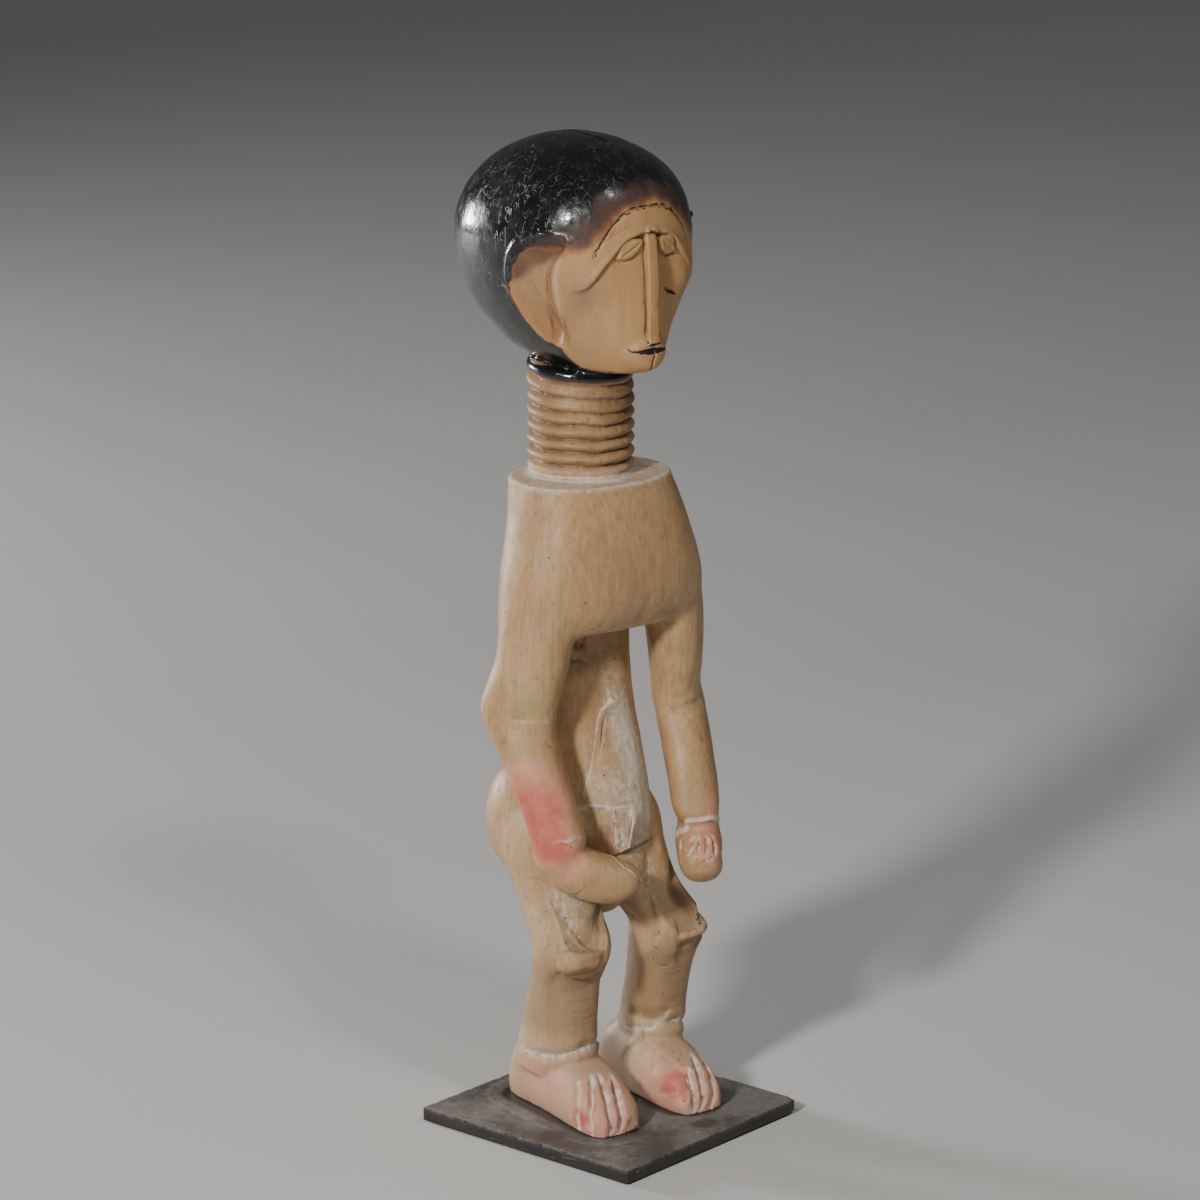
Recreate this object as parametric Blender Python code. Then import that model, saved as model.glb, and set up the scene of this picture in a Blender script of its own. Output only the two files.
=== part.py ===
"""A carved wooden standing figure, screwed from below to a thin dark base plate with a felt sheet under it.

Frame: +Z up, the figure faces -Y, the origin is at the centre of the plate's underside, on the surface it stands on.
The figure is one carving, cut from one log, so it is one solid. The plate, the felt and the two screws come apart.
"""

import math

import bmesh
import bpy
import numpy as np
from mathutils import Vector

MM = 0.001

# ---------------------------------------------------------------- driving dimensions, in millimetres
FIT_GAP = 0.3

PLATE_WIDTH = 132.0
PLATE_DEPTH = 135.0
PLATE_THICKNESS = 7.0
PLATE_TURN = 12.0  # degrees, the plate against the figure that stands on it
PLATE_EDGE = 0.7

FELT_THICKNESS = 0.7
FELT_INSET = 1.5

SCREW_SHANK = 4.0
SCREW_HEAD = 7.6
SCREW_HEAD_RIM = 0.4  # the straight edge of the head, before its cone
SCREW_HEAD_HEIGHT = 2.6
SCREW_LENGTH = 24.0
SCREW_THREAD_DEPTH = 0.45
SCREW_THREAD_PITCH = 2.0
SCREW_POINT = 4.0
SCREW_SLOT = 1.0
SCREW_SLOT_REACH = 0.6  # share of the head that each arm of the cross reaches over
SCREW_SLOT_DEPTH = 1.2

FOOT_LENGTH = 86.0
FOOT_WIDTH = 32.0
FOOT_HEIGHT = 33.0
FOOT_SPACING = 50.0  # between the middles of the feet
HEEL_BACK = 47.0  # the heel's reach behind the middle of the stance
LEFT_HEEL_SHORTER = 8.0  # the left heel reaches less far back
TOE_CUT_WIDTH = 2.8
TOES = 5
TOE_SPREAD = 0.92  # share of the foot that the grooves are spread over
FOOT_BELOW = 6.0  # its outlines reach this far below the sole, which is cut flat

SHIN_LENGTH = 56.0
THIGH_LENGTH = 50.0
LEG_WIDTH = 37.0
LEG_DEPTH = 38.0
KNEE_SPACING = 60.0
KNEE_FORWARD = 2.0
KNEE_CAP_WIDTH = 26.0
KNEE_CAP_DEPTH = 19.0
KNEE_CAP_HEIGHT = 16.0
KNEE_CAP_AHEAD = 10.0  # its middle before the middle of the knee
HIP_WIDTH = 90.0
HIP_BACK = 67.0  # the seat's reach behind the middle of the stance
BUTTOCK_WIDTH = 48.0
BUTTOCK_DEPTH = 52.0
BUTTOCK_HEIGHT = 68.0
BUTTOCK_RISE = 6.0  # its middle above the hips

TRUNK_LENGTH = 109.0  # hips to the underside of the chest
BELLY_WIDTH = 71.0
BELLY_FORWARD = 12.0

CHEST_HEIGHT = 76.0
CHEST_WIDTH = 114.0
CHEST_FRONT = 20.0
SHOULDER_WIDTH = 83.0

ARM_SPACING = 98.0  # between the two elbows
ARM_LONG = 38.0
ARM_SHORT = 26.0
ARM_TURN = 37.0  # degrees that the elbows are turned outwards
UPPER_ARM_DROP = 39.0  # chest underside to the elbow
FOREARM_DROP = 62.0
FOREARM_FORWARD = 25.0
RIGHT_HAND_LENGTH = 46.0
LEFT_HAND_LENGTH = 34.0  # a closed fist
HAND_HEIGHT = 25.0
HAND_THICKNESS = 23.0
RIGHT_HAND_TURN = 35.0  # degrees from straight inwards towards the front
LEFT_HAND_TURN = 58.0

NECK_LENGTH = 54.0
NECK_WIDTH = 52.0
NECK_SET_BACK = 30.0  # the neck's axis behind the middle of the stance
NECK_RINGS = 7
NECK_RING_DEPTH = 2.0
NECK_BELOW = 3.0  # its skin starts this far inside the chest
NECK_ABOVE = 6.0  # and ends this far inside the head
NECK_TILT = 0.1  # how much the top ring drops towards the front

HEAD_HEIGHT = 113.5
HEAD_WIDTH = 111.0
HEAD_FRONT = 58.0  # the neck's axis to the face
HEAD_BACK = 66.0  # the neck's axis to the back of the hair
NOSE_WIDTH = 6.0
NOSE_LENGTH = 62.0
NOSE_HEIGHT = 3.0
NOSE_ROOT = 6.0  # how deep its back lies in the face
EYE_WIDTH = 11.0
EYE_HEIGHT = 7.0
EYE_THICKNESS = 6.8
EYE_SINK = 0.4
EYE_SPACING = 22.0
EYE_LEVEL = 0.58  # shares of the head's height
NOSE_TOP = 0.72
MOUTH_LEVEL = 0.13
MOUTH_WIDTH = 19.0
MOUTH_HEIGHT = 5.0
MOUTH_THICKNESS = 8.0
MOUTH_SINK = 0.2
EAR_RIM_WIDTH = 6.0
EAR_SINK = 0.3

FIGURE_SHIFT = 4.0  # the figure's middle plane stands this far to +X of the plate's middle

VOXEL = 1.3
FIGURE_TRIANGLES_KEPT = 0.026
RING_POINTS = 56
RING_ROWS_PER_NECK_RING = 12
HOLE_SIDES = 32
BORE_SIDES = 24
SCREW_SIDES = 16
CUT_PAST = 5.0  # how far a cutter runs on past the face that it opens
BORE_PAST_POINT = 1.0
GROUND_BLOCK = (150.0, 60.0)  # the block that cuts the soles flat: half its side, and its height

# ---------------------------------------------------------------- levels and places that follow
FELT_TOP = FELT_THICKNESS
PLATE_BOTTOM = FELT_TOP + FIT_GAP
PLATE_TOP = PLATE_BOTTOM + PLATE_THICKNESS
SOLE = PLATE_TOP + FIT_GAP
ANKLE = SOLE + FOOT_HEIGHT
KNEE = ANKLE + SHIN_LENGTH
HIP = KNEE + THIGH_LENGTH
CHEST_BOTTOM = HIP + TRUNK_LENGTH
SHOULDER = CHEST_BOTTOM + CHEST_HEIGHT
HEAD_BASE = SHOULDER + NECK_LENGTH
HEAD_TOP = HEAD_BASE + HEAD_HEIGHT
ELBOW = CHEST_BOTTOM - UPPER_ARM_DROP
WRIST = ELBOW - FOREARM_DROP
FOOT_X = FOOT_SPACING / 2
SCREW_X = FOOT_X + 2.0
SCREW_Y = 14.0
SCREW_BOTTOM = PLATE_BOTTOM + FIT_GAP


# ---------------------------------------------------------------- tools
def clear_scene():
    for obj in list(bpy.data.objects):
        bpy.data.objects.remove(obj, do_unlink=True)


def paint(name, colour, roughness, metallic=0.0):
    material = bpy.data.materials.new(name)
    material.use_nodes = True
    shader = material.node_tree.nodes["Principled BSDF"]
    shader.inputs["Base Color"].default_value = (*colour, 1.0)
    shader.inputs["Roughness"].default_value = roughness
    shader.inputs["Metallic"].default_value = metallic
    return material


def new_object(name, bm, material=None):
    bmesh.ops.recalc_face_normals(bm, faces=bm.faces)
    mesh = bpy.data.meshes.new(name)
    bm.to_mesh(mesh)
    bm.free()
    if material:
        mesh.materials.append(material)
    obj = bpy.data.objects.new(name, mesh)
    bpy.context.scene.collection.objects.link(obj)
    return obj


def eased(rows, steps=6):
    """The rows of a table with smooth rows set between them, as a Catmull-Rom curve."""
    rows = np.array(rows, float)
    padded = np.vstack([2 * rows[0] - rows[1], rows, 2 * rows[-1] - rows[-2]])
    smooth = []
    for i in range(1, len(rows)):
        a, b, c, d = padded[i - 1], padded[i], padded[i + 1], padded[i + 2]
        for t in np.arange(steps) / steps:
            bend = (2 * a - 5 * b + 4 * c - d) * t**2 + (3 * b - a - 3 * c + d) * t**3
            smooth.append(b + 0.5 * ((c - a) * t + bend))
    return smooth + [rows[-1]]


def signed_power(value, power):
    return math.copysign(abs(value) ** power, value)


def slab_ring(z, half_width, front, back, squareness=2.2, middle_x=0.0, tilt=0.0, narrowing=0.0):
    """A level outline: half_width each side of middle_x, from front (-Y) to back (+Y), narrowed towards the front."""
    centre, half_depth = (front + back) / 2, (back - front) / 2
    points = []
    for i in range(RING_POINTS):
        turn = 2 * math.pi * i / RING_POINTS
        across = half_width * signed_power(math.cos(turn), 2 / squareness)
        along = half_depth * signed_power(math.sin(turn), 2 / squareness)
        across *= 1 - narrowing * (1 - along / half_depth) / 2
        points.append(Vector((middle_x + across, centre + along, z + tilt * along)))
    return points


def limb_ring(centre, half_long, half_short, yaw, lean=0.0, squareness=2.2):
    """An outline across a limb. Its long side points to yaw in plan, and lean drops that side."""
    long_way = Vector((math.sin(yaw), math.cos(yaw), lean))
    short_way = Vector((math.cos(yaw), -math.sin(yaw), 0))
    points = []
    for i in range(RING_POINTS):
        turn = 2 * math.pi * i / RING_POINTS
        along = half_long * signed_power(math.cos(turn), 2 / squareness)
        across = half_short * signed_power(math.sin(turn), 2 / squareness)
        points.append(Vector(centre) + long_way * along + short_way * across)
    return points


def loft(rings):
    """A closed skin over outlines that all have RING_POINTS points."""
    bm = bmesh.new()
    loops = [[bm.verts.new(p * MM) for p in ring] for ring in rings]
    for low, high in zip(loops, loops[1:]):
        for i in range(RING_POINTS):
            j = (i + 1) % RING_POINTS
            bm.faces.new((low[i], low[j], high[j], high[i]))
    bm.faces.new(loops[0])
    bm.faces.new(loops[-1])
    return new_object("carving_shape", bm)


def pebble(centre, half_sizes, yaw=0.0):
    """A smooth lens or pebble, with its half sizes along its own X, Y and Z."""
    bm = bmesh.new()
    bmesh.ops.create_icosphere(bm, subdivisions=4, radius=1.0)
    for vert in bm.verts:
        x, y, z = (c * h for c, h in zip(vert.co, half_sizes))
        vert.co = Vector((
            centre[0] + x * math.cos(yaw) - y * math.sin(yaw),
            centre[1] + x * math.sin(yaw) + y * math.cos(yaw),
            centre[2] + z,
        )) * MM
    return new_object("carving_shape", bm)


def rod(points, radius):
    """A round bar along a list of points, with closed ends."""
    curve = bpy.data.curves.new("carving_shape", "CURVE")
    curve.dimensions = "3D"
    spline = curve.splines.new("POLY")
    spline.points.add(len(points) - 1)
    for spot, point in zip(spline.points, points):
        spot.co = (*(Vector(point) * MM), 1.0)
    curve.bevel_depth = radius * MM
    curve.bevel_resolution = 3
    curve.use_fill_caps = True
    obj = bpy.data.objects.new("carving_shape", curve)
    bpy.context.scene.collection.objects.link(obj)
    return obj


# ---------------------------------------------------------------- the carving, region by region
HEAD_SHARES = [  # share of the height, of the width, of the front and back reach, and narrowing to the front
    (0.00, 0.34, 0.62, 0.30, 0.30),
    (0.03, 0.48, 0.92, 0.44, 0.45),
    (0.10, 0.66, 1.00, 0.66, 0.43),
    (0.22, 0.83, 1.00, 0.85, 0.31),
    (0.34, 0.93, 1.00, 0.96, 0.21),
    (0.47, 0.99, 1.00, 1.00, 0.16),
    (0.60, 1.00, 0.99, 1.00, 0.10),
    (0.72, 0.93, 0.96, 0.95, 0.08),
    (0.82, 0.80, 0.88, 0.84, 0.06),
    (0.90, 0.62, 0.72, 0.68, 0.05),
    (0.96, 0.40, 0.46, 0.46, 0.03),
    (1.00, 0.12, 0.14, 0.16, 0.00),
]


def head_ring(share):
    """The head's level outline at this share of its height."""
    rows = np.array(eased(HEAD_SHARES))
    width, front, back, narrowing = (np.interp(share, rows[:, 0], rows[:, i]) for i in (1, 2, 3, 4))
    return slab_ring(
        face_level(share),
        width * HEAD_WIDTH / 2,
        NECK_SET_BACK - front * HEAD_FRONT,
        NECK_SET_BACK + back * HEAD_BACK,
        narrowing=narrowing,
    )


def head():
    return loft([head_ring(row[0]) for row in eased(HEAD_SHARES)])


def face_front(x, share):
    """Where the front of the face is at this place across it."""
    front = sorted((p.x, p.y) for p in head_ring(share) if p.y < NECK_SET_BACK)
    return float(np.interp(x, [p[0] for p in front], [p[1] for p in front]))


def head_side(y, share):
    """The head's half width at this place along it."""
    side = sorted((p.y, p.x) for p in head_ring(share) if p.x > 0)
    return float(np.interp(y, [p[0] for p in side], [p[1] for p in side]))


def face_level(share):
    return HEAD_BASE + share * HEAD_HEIGHT


def nose():
    top, bottom = NOSE_TOP, NOSE_TOP - NOSE_LENGTH / HEAD_HEIGHT
    rings = []
    for share, reach in ((top, 0.3), (top - 0.04, 0.8), (bottom + 0.02, 1.0), (bottom, 0.8)):
        front = face_front(0, share)
        ridge, root = front - NOSE_HEIGHT * reach, front + NOSE_ROOT
        rings.append(slab_ring(face_level(share), NOSE_WIDTH / 2, ridge, root, squareness=3.0))
    return loft(rings)


def eyes_and_mouth():
    half_eye = (EYE_WIDTH / 2, EYE_THICKNESS / 2, EYE_HEIGHT / 2)
    shapes = []
    for side in (-1, 1):
        x = side * EYE_SPACING / 2
        shapes.append(pebble((x, face_front(x, EYE_LEVEL) + EYE_SINK, face_level(EYE_LEVEL)), half_eye))
    half_mouth = (MOUTH_WIDTH / 2, MOUTH_THICKNESS / 2, MOUTH_HEIGHT / 2)
    mouth_front = face_front(MOUTH_WIDTH / 4, MOUTH_LEVEL) + MOUTH_SINK
    shapes.append(pebble((0, mouth_front, face_level(MOUTH_LEVEL)), half_mouth))
    return shapes


EAR_RIM = [  # how far behind the middle of the stance, and the level as a share of the head
    (-8.0, 0.655),
    (2.0, 0.645),
    (10.0, 0.60),
    (14.0, 0.52),
    (13.0, 0.43),
    (8.0, 0.34),
    (0.0, 0.26),
    (-12.0, 0.19),
]


def ear(side):
    """A raised rim like a C, open to the front, on the side of the head."""
    points = []
    for y, share in eased(EAR_RIM, 3):
        points.append((side * (head_side(y, share) - EAR_SINK), y, face_level(share)))
    return rod(points, EAR_RIM_WIDTH / 2)


def neck():
    """A column of carved rings. The rings lean forward towards the head."""
    rows = RING_ROWS_PER_NECK_RING * NECK_RINGS
    rings = []
    for i in range(rows + 1):
        share = i / rows
        swell = NECK_RING_DEPTH * abs(math.sin(math.pi * share * NECK_RINGS)) ** 0.7
        half = NECK_WIDTH / 2 - NECK_RING_DEPTH + swell
        z = SHOULDER - NECK_BELOW + share * (NECK_BELOW + NECK_LENGTH + NECK_ABOVE)
        front, back = NECK_SET_BACK - half, NECK_SET_BACK + half
        rings.append(slab_ring(z, half, front, back, squareness=2.0, tilt=NECK_TILT * share))
    return loft(rings)


CHEST_SHARES = [  # share of the height, of the widening from the shoulders, of the front reach, and the back
    (0.00, 0.88, -0.30, 42.0),
    (0.05, 0.94, -0.60, 43.0),
    (0.15, 0.98, -0.86, 44.0),
    (0.32, 0.92, -1.00, 46.0),
    (0.55, 0.64, -0.92, 47.0),
    (0.78, 0.32, -0.68, 49.0),
    (0.95, 0.06, -0.42, 52.5),
    (0.99, 0.02, -0.36, 53.5),
    (1.00, -0.06, -0.26, 51.5),
]


def chest():
    rings = []
    for height, widening, front, back in eased(CHEST_SHARES):
        half = (SHOULDER_WIDTH + widening * (CHEST_WIDTH - SHOULDER_WIDTH)) / 2
        rings.append(slab_ring(CHEST_BOTTOM + height * CHEST_HEIGHT, half, front * CHEST_FRONT, back, 2.3))
    return loft(rings)


TRUNK_SHARES = [  # share of the trunk's length from the hips, then of its width, front reach and back reach
    (-0.38, 0.38, -0.67, 0.60),
    (-0.28, 0.66, 0.33, 0.78),
    (-0.14, 0.95, 0.83, 0.90),
    (0.02, 1.00, 1.00, 0.94),
    (0.18, 0.93, 0.92, 0.91),
    (0.38, 0.87, 0.42, 0.82),
    (0.62, 0.83, -0.42, 0.75),
    (0.85, 0.83, -0.92, 0.68),
    (1.10, 0.845, -1.08, 0.61),
]


def trunk():
    rings = []
    for height, width, front, back in eased(TRUNK_SHARES):
        half = width * BELLY_WIDTH / 2
        rings.append(slab_ring(HIP + height * TRUNK_LENGTH, half, -front * BELLY_FORWARD, back * HIP_BACK, 2.1))
    return loft(rings)


def buttock(side):
    half = BUTTOCK_WIDTH / 2
    middle = (side * (HIP_WIDTH / 2 - half), HIP_BACK - BUTTOCK_DEPTH / 2, HIP + BUTTOCK_RISE)
    return pebble(middle, (half, BUTTOCK_DEPTH / 2, BUTTOCK_HEIGHT / 2))


RIGHT_LEG_ROWS = [  # level, x, y, share of the width, share of the depth
    (HIP + 30, 19.0, 30.0, 0.49, 0.95),
    (HIP + 22, 21.5, 29.0, 0.86, 1.37),
    (HIP + 10, 24.0, 26.5, 1.08, 1.60),
    (HIP - 8, 26.5, 22.0, 1.05, 1.50),
    (KNEE + 22, 28.5, 11.0, 0.93, 1.25),
    (KNEE + 5, KNEE_SPACING / 2, -KNEE_FORWARD, 1.00, 1.00),
    (KNEE - 4, KNEE_SPACING / 2, -KNEE_FORWARD - 1, 1.00, 0.95),
    (KNEE - 18, 29.5, 3.0, 0.89, 0.92),
    (ANKLE + 20, 28.5, 8.5, 0.84, 1.10),
    (ANKLE, 27.5, 13.0, 0.84, 1.26),
    (ANKLE - 14, 26.5, 20.0, 0.81, 1.32),
]
LEFT_LEG_ROWS = [  # the left thigh starts nearer to the middle, and its shin is slimmer
    (HIP + 30, 12.5, 30.0, 0.49, 0.95),
    (HIP + 22, 14.0, 29.0, 0.81, 1.37),
    (HIP + 10, 16.0, 27.0, 1.04, 1.58),
    (HIP - 8, 19.0, 24.0, 1.03, 1.48),
    (KNEE + 22, 23.5, 14.5, 0.98, 1.26),
    (KNEE + 5, KNEE_SPACING / 2 - 0.5, -KNEE_FORWARD, 1.00, 1.00),
    (KNEE - 4, KNEE_SPACING / 2, -KNEE_FORWARD - 1, 0.98, 0.95),
    (KNEE - 18, 29.5, 2.0, 0.86, 0.87),
    (ANKLE + 20, 29.0, 5.5, 0.78, 0.90),
    (ANKLE, 28.5, 9.0, 0.76, 1.05),
    (ANKLE - 14, 27.0, 17.0, 0.76, 1.16),
]


def leg(side):
    rings = []
    for z, x, y, width, depth in eased(RIGHT_LEG_ROWS if side < 0 else LEFT_LEG_ROWS):
        half = depth * LEG_DEPTH / 2
        rings.append(slab_ring(z, width * LEG_WIDTH / 2, y - half, y + half, 2.3, side * x))
    return loft(rings)


FOOT_SHARES = [  # share of the length from the heel, half width, top above the sole
    (0.00, 0.42, 0.45),
    (0.04, 0.68, 0.75),
    (0.14, 0.84, 1.00),
    (0.34, 0.88, 1.05),
    (0.54, 0.95, 1.00),
    (0.70, 1.00, 0.86),
    (0.84, 0.98, 0.66),
    (0.94, 0.88, 0.46),
    (1.00, 0.64, 0.24),
]


def foot(side):
    """Upright outlines from the heel to the toes. They reach below the sole, which is cut flat afterwards."""
    rings = []
    shorter = LEFT_HEEL_SHORTER if side > 0 else 0.0
    for share, width, top in eased(FOOT_SHARES):
        half_width = width * FOOT_WIDTH / 2
        half_height = (top * FOOT_HEIGHT + FOOT_BELOW) / 2
        ring = []
        for i in range(RING_POINTS):
            turn = 2 * math.pi * i / RING_POINTS
            across = half_width * signed_power(math.cos(turn), 2 / 2.6)
            up = half_height * signed_power(math.sin(turn), 2 / 2.6)
            ring.append(Vector((
                side * (FOOT_X + across),
                HEEL_BACK - shorter - share * (FOOT_LENGTH - shorter),
                SOLE - FOOT_BELOW + half_height + up,
            )))
        rings.append(ring)
    return loft(rings)


def arm(side):
    """One skin from inside the chest, down the upper arm, round the elbow and along the forearm to the wrist."""
    turn = math.radians(ARM_TURN)
    elbow_x = ARM_SPACING / 2
    rows = [  # level, x, y, long share, short share, lean of the outline
        (CHEST_BOTTOM + 40, elbow_x - 16, 12.0, 1.00, 1.20, 0.0),
        (CHEST_BOTTOM + 10, elbow_x - 8, 9.5, 1.00, 1.22, 0.0),
        (CHEST_BOTTOM - 10, elbow_x - 5, 10.0, 0.98, 1.12, 0.0),
        (ELBOW + 14, elbow_x - 2, 13.0, 1.00, 1.05, 0.05),
        (ELBOW, elbow_x, 16.0, 1.00, 1.00, 0.2),
        (ELBOW - 12, elbow_x, 11.5, 0.97, 1.00, 0.3),
        (ELBOW - 28, elbow_x - 2, 3.5, 0.90, 0.98, 0.35),
        (ELBOW - 45, elbow_x - 4, -4.0, 0.84, 0.96, 0.35),
        (WRIST, elbow_x - 6, 14.0 - FOREARM_FORWARD, 0.80, 0.94, 0.35),
        (WRIST - 8, elbow_x - 7, 12.0 - FOREARM_FORWARD, 0.72, 0.84, 0.3),
    ]
    rings = []
    for z, x, y, long_share, short_share, lean in eased(rows):
        rings.append(limb_ring(
            (side * x, y, z), long_share * ARM_LONG / 2, short_share * ARM_SHORT / 2, side * turn, lean
        ))
    return loft(rings)


HAND_SHARES = [  # share of the length from the wrist, height share, thickness share, drop of the top
    (0.00, 0.55, 0.55, 3.0),
    (0.08, 0.85, 0.85, 2.0),
    (0.25, 1.00, 1.00, 2.5),
    (0.50, 0.98, 1.00, 6.0),
    (0.75, 0.84, 0.92, 9.5),
    (0.92, 0.58, 0.72, 12.0),
    (1.00, 0.30, 0.40, 15.0),
]


def hand_frame(side):
    turn = math.radians(RIGHT_HAND_TURN if side < 0 else LEFT_HAND_TURN)
    forward = Vector((-side * math.cos(turn), -math.sin(turn), 0))
    across = Vector((side * math.sin(turn), -math.cos(turn), 0))
    start = Vector((side * (ARM_SPACING / 2 - 2), 20.0 - FOREARM_FORWARD, WRIST))
    return start, forward, across


def hand(side):
    start, forward, across = hand_frame(side)
    length = RIGHT_HAND_LENGTH if side < 0 else LEFT_HAND_LENGTH
    rings = []
    for share, height, thickness, drop in eased(HAND_SHARES):
        half_height = height * HAND_HEIGHT / 2
        middle = start + forward * (share * length) - Vector((0, 0, drop + half_height))
        ring = []
        for i in range(RING_POINTS):
            turn = 2 * math.pi * i / RING_POINTS
            ring.append(
                middle
                + across * (thickness * HAND_THICKNESS / 2 * signed_power(math.cos(turn), 2 / 2.3))
                + Vector((0, 0, half_height * signed_power(math.sin(turn), 2 / 2.3)))
            )
        rings.append(ring)
    return loft(rings)


def knee_cap(side):
    middle = (side * KNEE_SPACING / 2, -KNEE_FORWARD - KNEE_CAP_AHEAD, KNEE)
    return pebble(middle, (KNEE_CAP_WIDTH / 2, KNEE_CAP_DEPTH / 2, KNEE_CAP_HEIGHT / 2))


# ---------------------------------------------------------------- cutters
def toe_cutters(side):
    """Narrow wedges between the toes, from the top of the toes down to the sole."""
    cutters = []
    for i in range(1, TOES):
        x = side * (FOOT_X + FOOT_WIDTH * (i / TOES - 0.5) * TOE_SPREAD)
        front = HEEL_BACK - FOOT_LENGTH
        squeeze = abs(i / TOES - 0.5)
        points = [
            (x, front + 19 + 6 * squeeze, SOLE + FOOT_HEIGHT * 0.86),
            (x, front + 9 + 6 * squeeze, SOLE + FOOT_HEIGHT * 0.66),
            (x, front + 3 + 7 * squeeze, SOLE + FOOT_HEIGHT * 0.42),
            (x, front - 0.5 + 8 * squeeze, SOLE - 4),
        ]
        cutters.append(rod(points, TOE_CUT_WIDTH / 2))
    return cutters


def box(name, low, high, material=None):
    bm = bmesh.new()
    bmesh.ops.create_cube(bm, size=1.0)
    for vert in bm.verts:
        vert.co = Vector([(lo + (c + 0.5) * (hi - lo)) * MM for c, lo, hi in zip(vert.co, low, high)])
    return new_object(name, bm, material)


def turned(name, profile, segments, material=None):
    """A solid of revolution about Z from (radius, height) pairs that start and end on the axis."""
    bm = bmesh.new()
    loops = []
    for radius, height in profile:
        if radius == 0:
            loops.append([bm.verts.new((0, 0, height * MM))])
            continue
        turns = [2 * math.pi * i / segments for i in range(segments)]
        loops.append([
            bm.verts.new((radius * math.cos(t) * MM, radius * math.sin(t) * MM, height * MM)) for t in turns
        ])
    for low, high in zip(loops, loops[1:]):
        for i in range(segments):
            corners = [low[i % len(low)], low[(i + 1) % len(low)], high[(i + 1) % len(high)], high[i % len(high)]]
            bm.faces.new(list(dict.fromkeys(corners)))
    return new_object(name, bm, material)


def cut(target, cutter, name):
    cutter.hide_render = True
    cutter.display_type = "WIRE"
    boolean = target.modifiers.new(name, "BOOLEAN")
    boolean.operation = "DIFFERENCE"
    boolean.solver = "EXACT"
    boolean.object = cutter


def joined(name, shapes):
    """The shapes as one object, whose skins still run through each other."""
    bpy.context.view_layer.update()
    graph = bpy.context.evaluated_depsgraph_get()
    bm = bmesh.new()
    for shape in shapes:
        mesh = bpy.data.meshes.new_from_object(shape.evaluated_get(graph))
        bm.from_mesh(mesh)
    for shape in shapes:
        bpy.data.objects.remove(shape, do_unlink=True)
    bmesh.ops.remove_doubles(bm, verts=bm.verts, dist=1e-7)
    return new_object(name, bm)


# ---------------------------------------------------------------- the pieces
def carved_figure(wood, stand):
    shapes = [head(), nose(), *eyes_and_mouth(), neck(), chest(), trunk()]
    for side in (-1, 1):
        shapes += [ear(side), buttock(side), leg(side), foot(side), arm(side), hand(side), knee_cap(side)]
    figure = joined("carved_figure", shapes)
    figure.data.materials.append(wood)
    figure.parent = stand

    fuse = figure.modifiers.new("fuse", "REMESH")
    fuse.mode = "VOXEL"
    fuse.voxel_size = VOXEL * MM
    fuse.use_smooth_shade = True
    soften = figure.modifiers.new("soften", "SMOOTH")
    soften.factor = 0.5
    soften.iterations = 3
    thin_out = figure.modifiers.new("thin_out", "DECIMATE")
    thin_out.ratio = FIGURE_TRIANGLES_KEPT

    grooves = joined("toe_grooves", toe_cutters(-1) + toe_cutters(1))
    grooves.parent = stand
    cut(figure, grooves, "toe_grooves")
    reach, height = GROUND_BLOCK
    ground = box("sole_level", (-reach, -reach, SOLE - height), (reach, reach, SOLE))
    ground.parent = stand
    cut(figure, ground, "flat_soles")
    for side, label in ((-1, "right"), (1, "left")):
        bore = screw_bore(f"{label}_foot_bore")
        bore.location = (side * SCREW_X * MM, SCREW_Y * MM, 0)
        bore.parent = stand
        cut(figure, bore, f"{label}_foot_bore")
    return figure


def screw_bore(name):
    top = SCREW_BOTTOM + SCREW_LENGTH + BORE_PAST_POINT
    bottom = SOLE - CUT_PAST
    radius = SCREW_SHANK / 2 + FIT_GAP
    return turned(name, [(0, bottom), (radius, bottom), (radius, top - radius), (0, top)], BORE_SIDES)


def foot_screw(name, steel, side):
    """A countersunk wood screw that stands on its head, with turned thread ridges and a pointed end."""
    head, shank, core = SCREW_HEAD / 2, SCREW_SHANK / 2, SCREW_SHANK / 2 - SCREW_THREAD_DEPTH
    bottom = SCREW_BOTTOM
    smooth_end = bottom + PLATE_THICKNESS
    point_start = bottom + SCREW_LENGTH - SCREW_POINT
    profile = [(0, bottom), (head, bottom), (head, bottom + SCREW_HEAD_RIM)]
    profile += [(shank, bottom + SCREW_HEAD_HEIGHT), (shank, smooth_end)]
    ridges = int((point_start - smooth_end) / SCREW_THREAD_PITCH)
    for i in range(ridges):
        start = smooth_end + i * SCREW_THREAD_PITCH
        profile.append((core, start + 0.3 * SCREW_THREAD_PITCH))
        profile.append((core, start + 0.7 * SCREW_THREAD_PITCH))
        profile.append((shank, start + SCREW_THREAD_PITCH))
    profile += [(core * 0.8, point_start + 0.4 * SCREW_POINT), (0, bottom + SCREW_LENGTH)]
    screw = turned(name, profile, SCREW_SIDES, steel)
    screw.location = (side * SCREW_X * MM, SCREW_Y * MM, 0)
    half, reach = SCREW_SLOT / 2, head * SCREW_SLOT_REACH
    for turn, size in enumerate(((half, reach), (reach, half))):
        low = (-size[0], -size[1], bottom - CUT_PAST)
        high = (size[0], size[1], bottom + SCREW_SLOT_DEPTH)
        slot = box(f"{name}_slot_{turn}", low, high)
        slot.parent = screw
        cut(screw, slot, f"slot_{turn}")
    screw.data.shade_smooth()
    screw.data.set_sharp_from_angle(angle=math.radians(40))
    return screw


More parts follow.
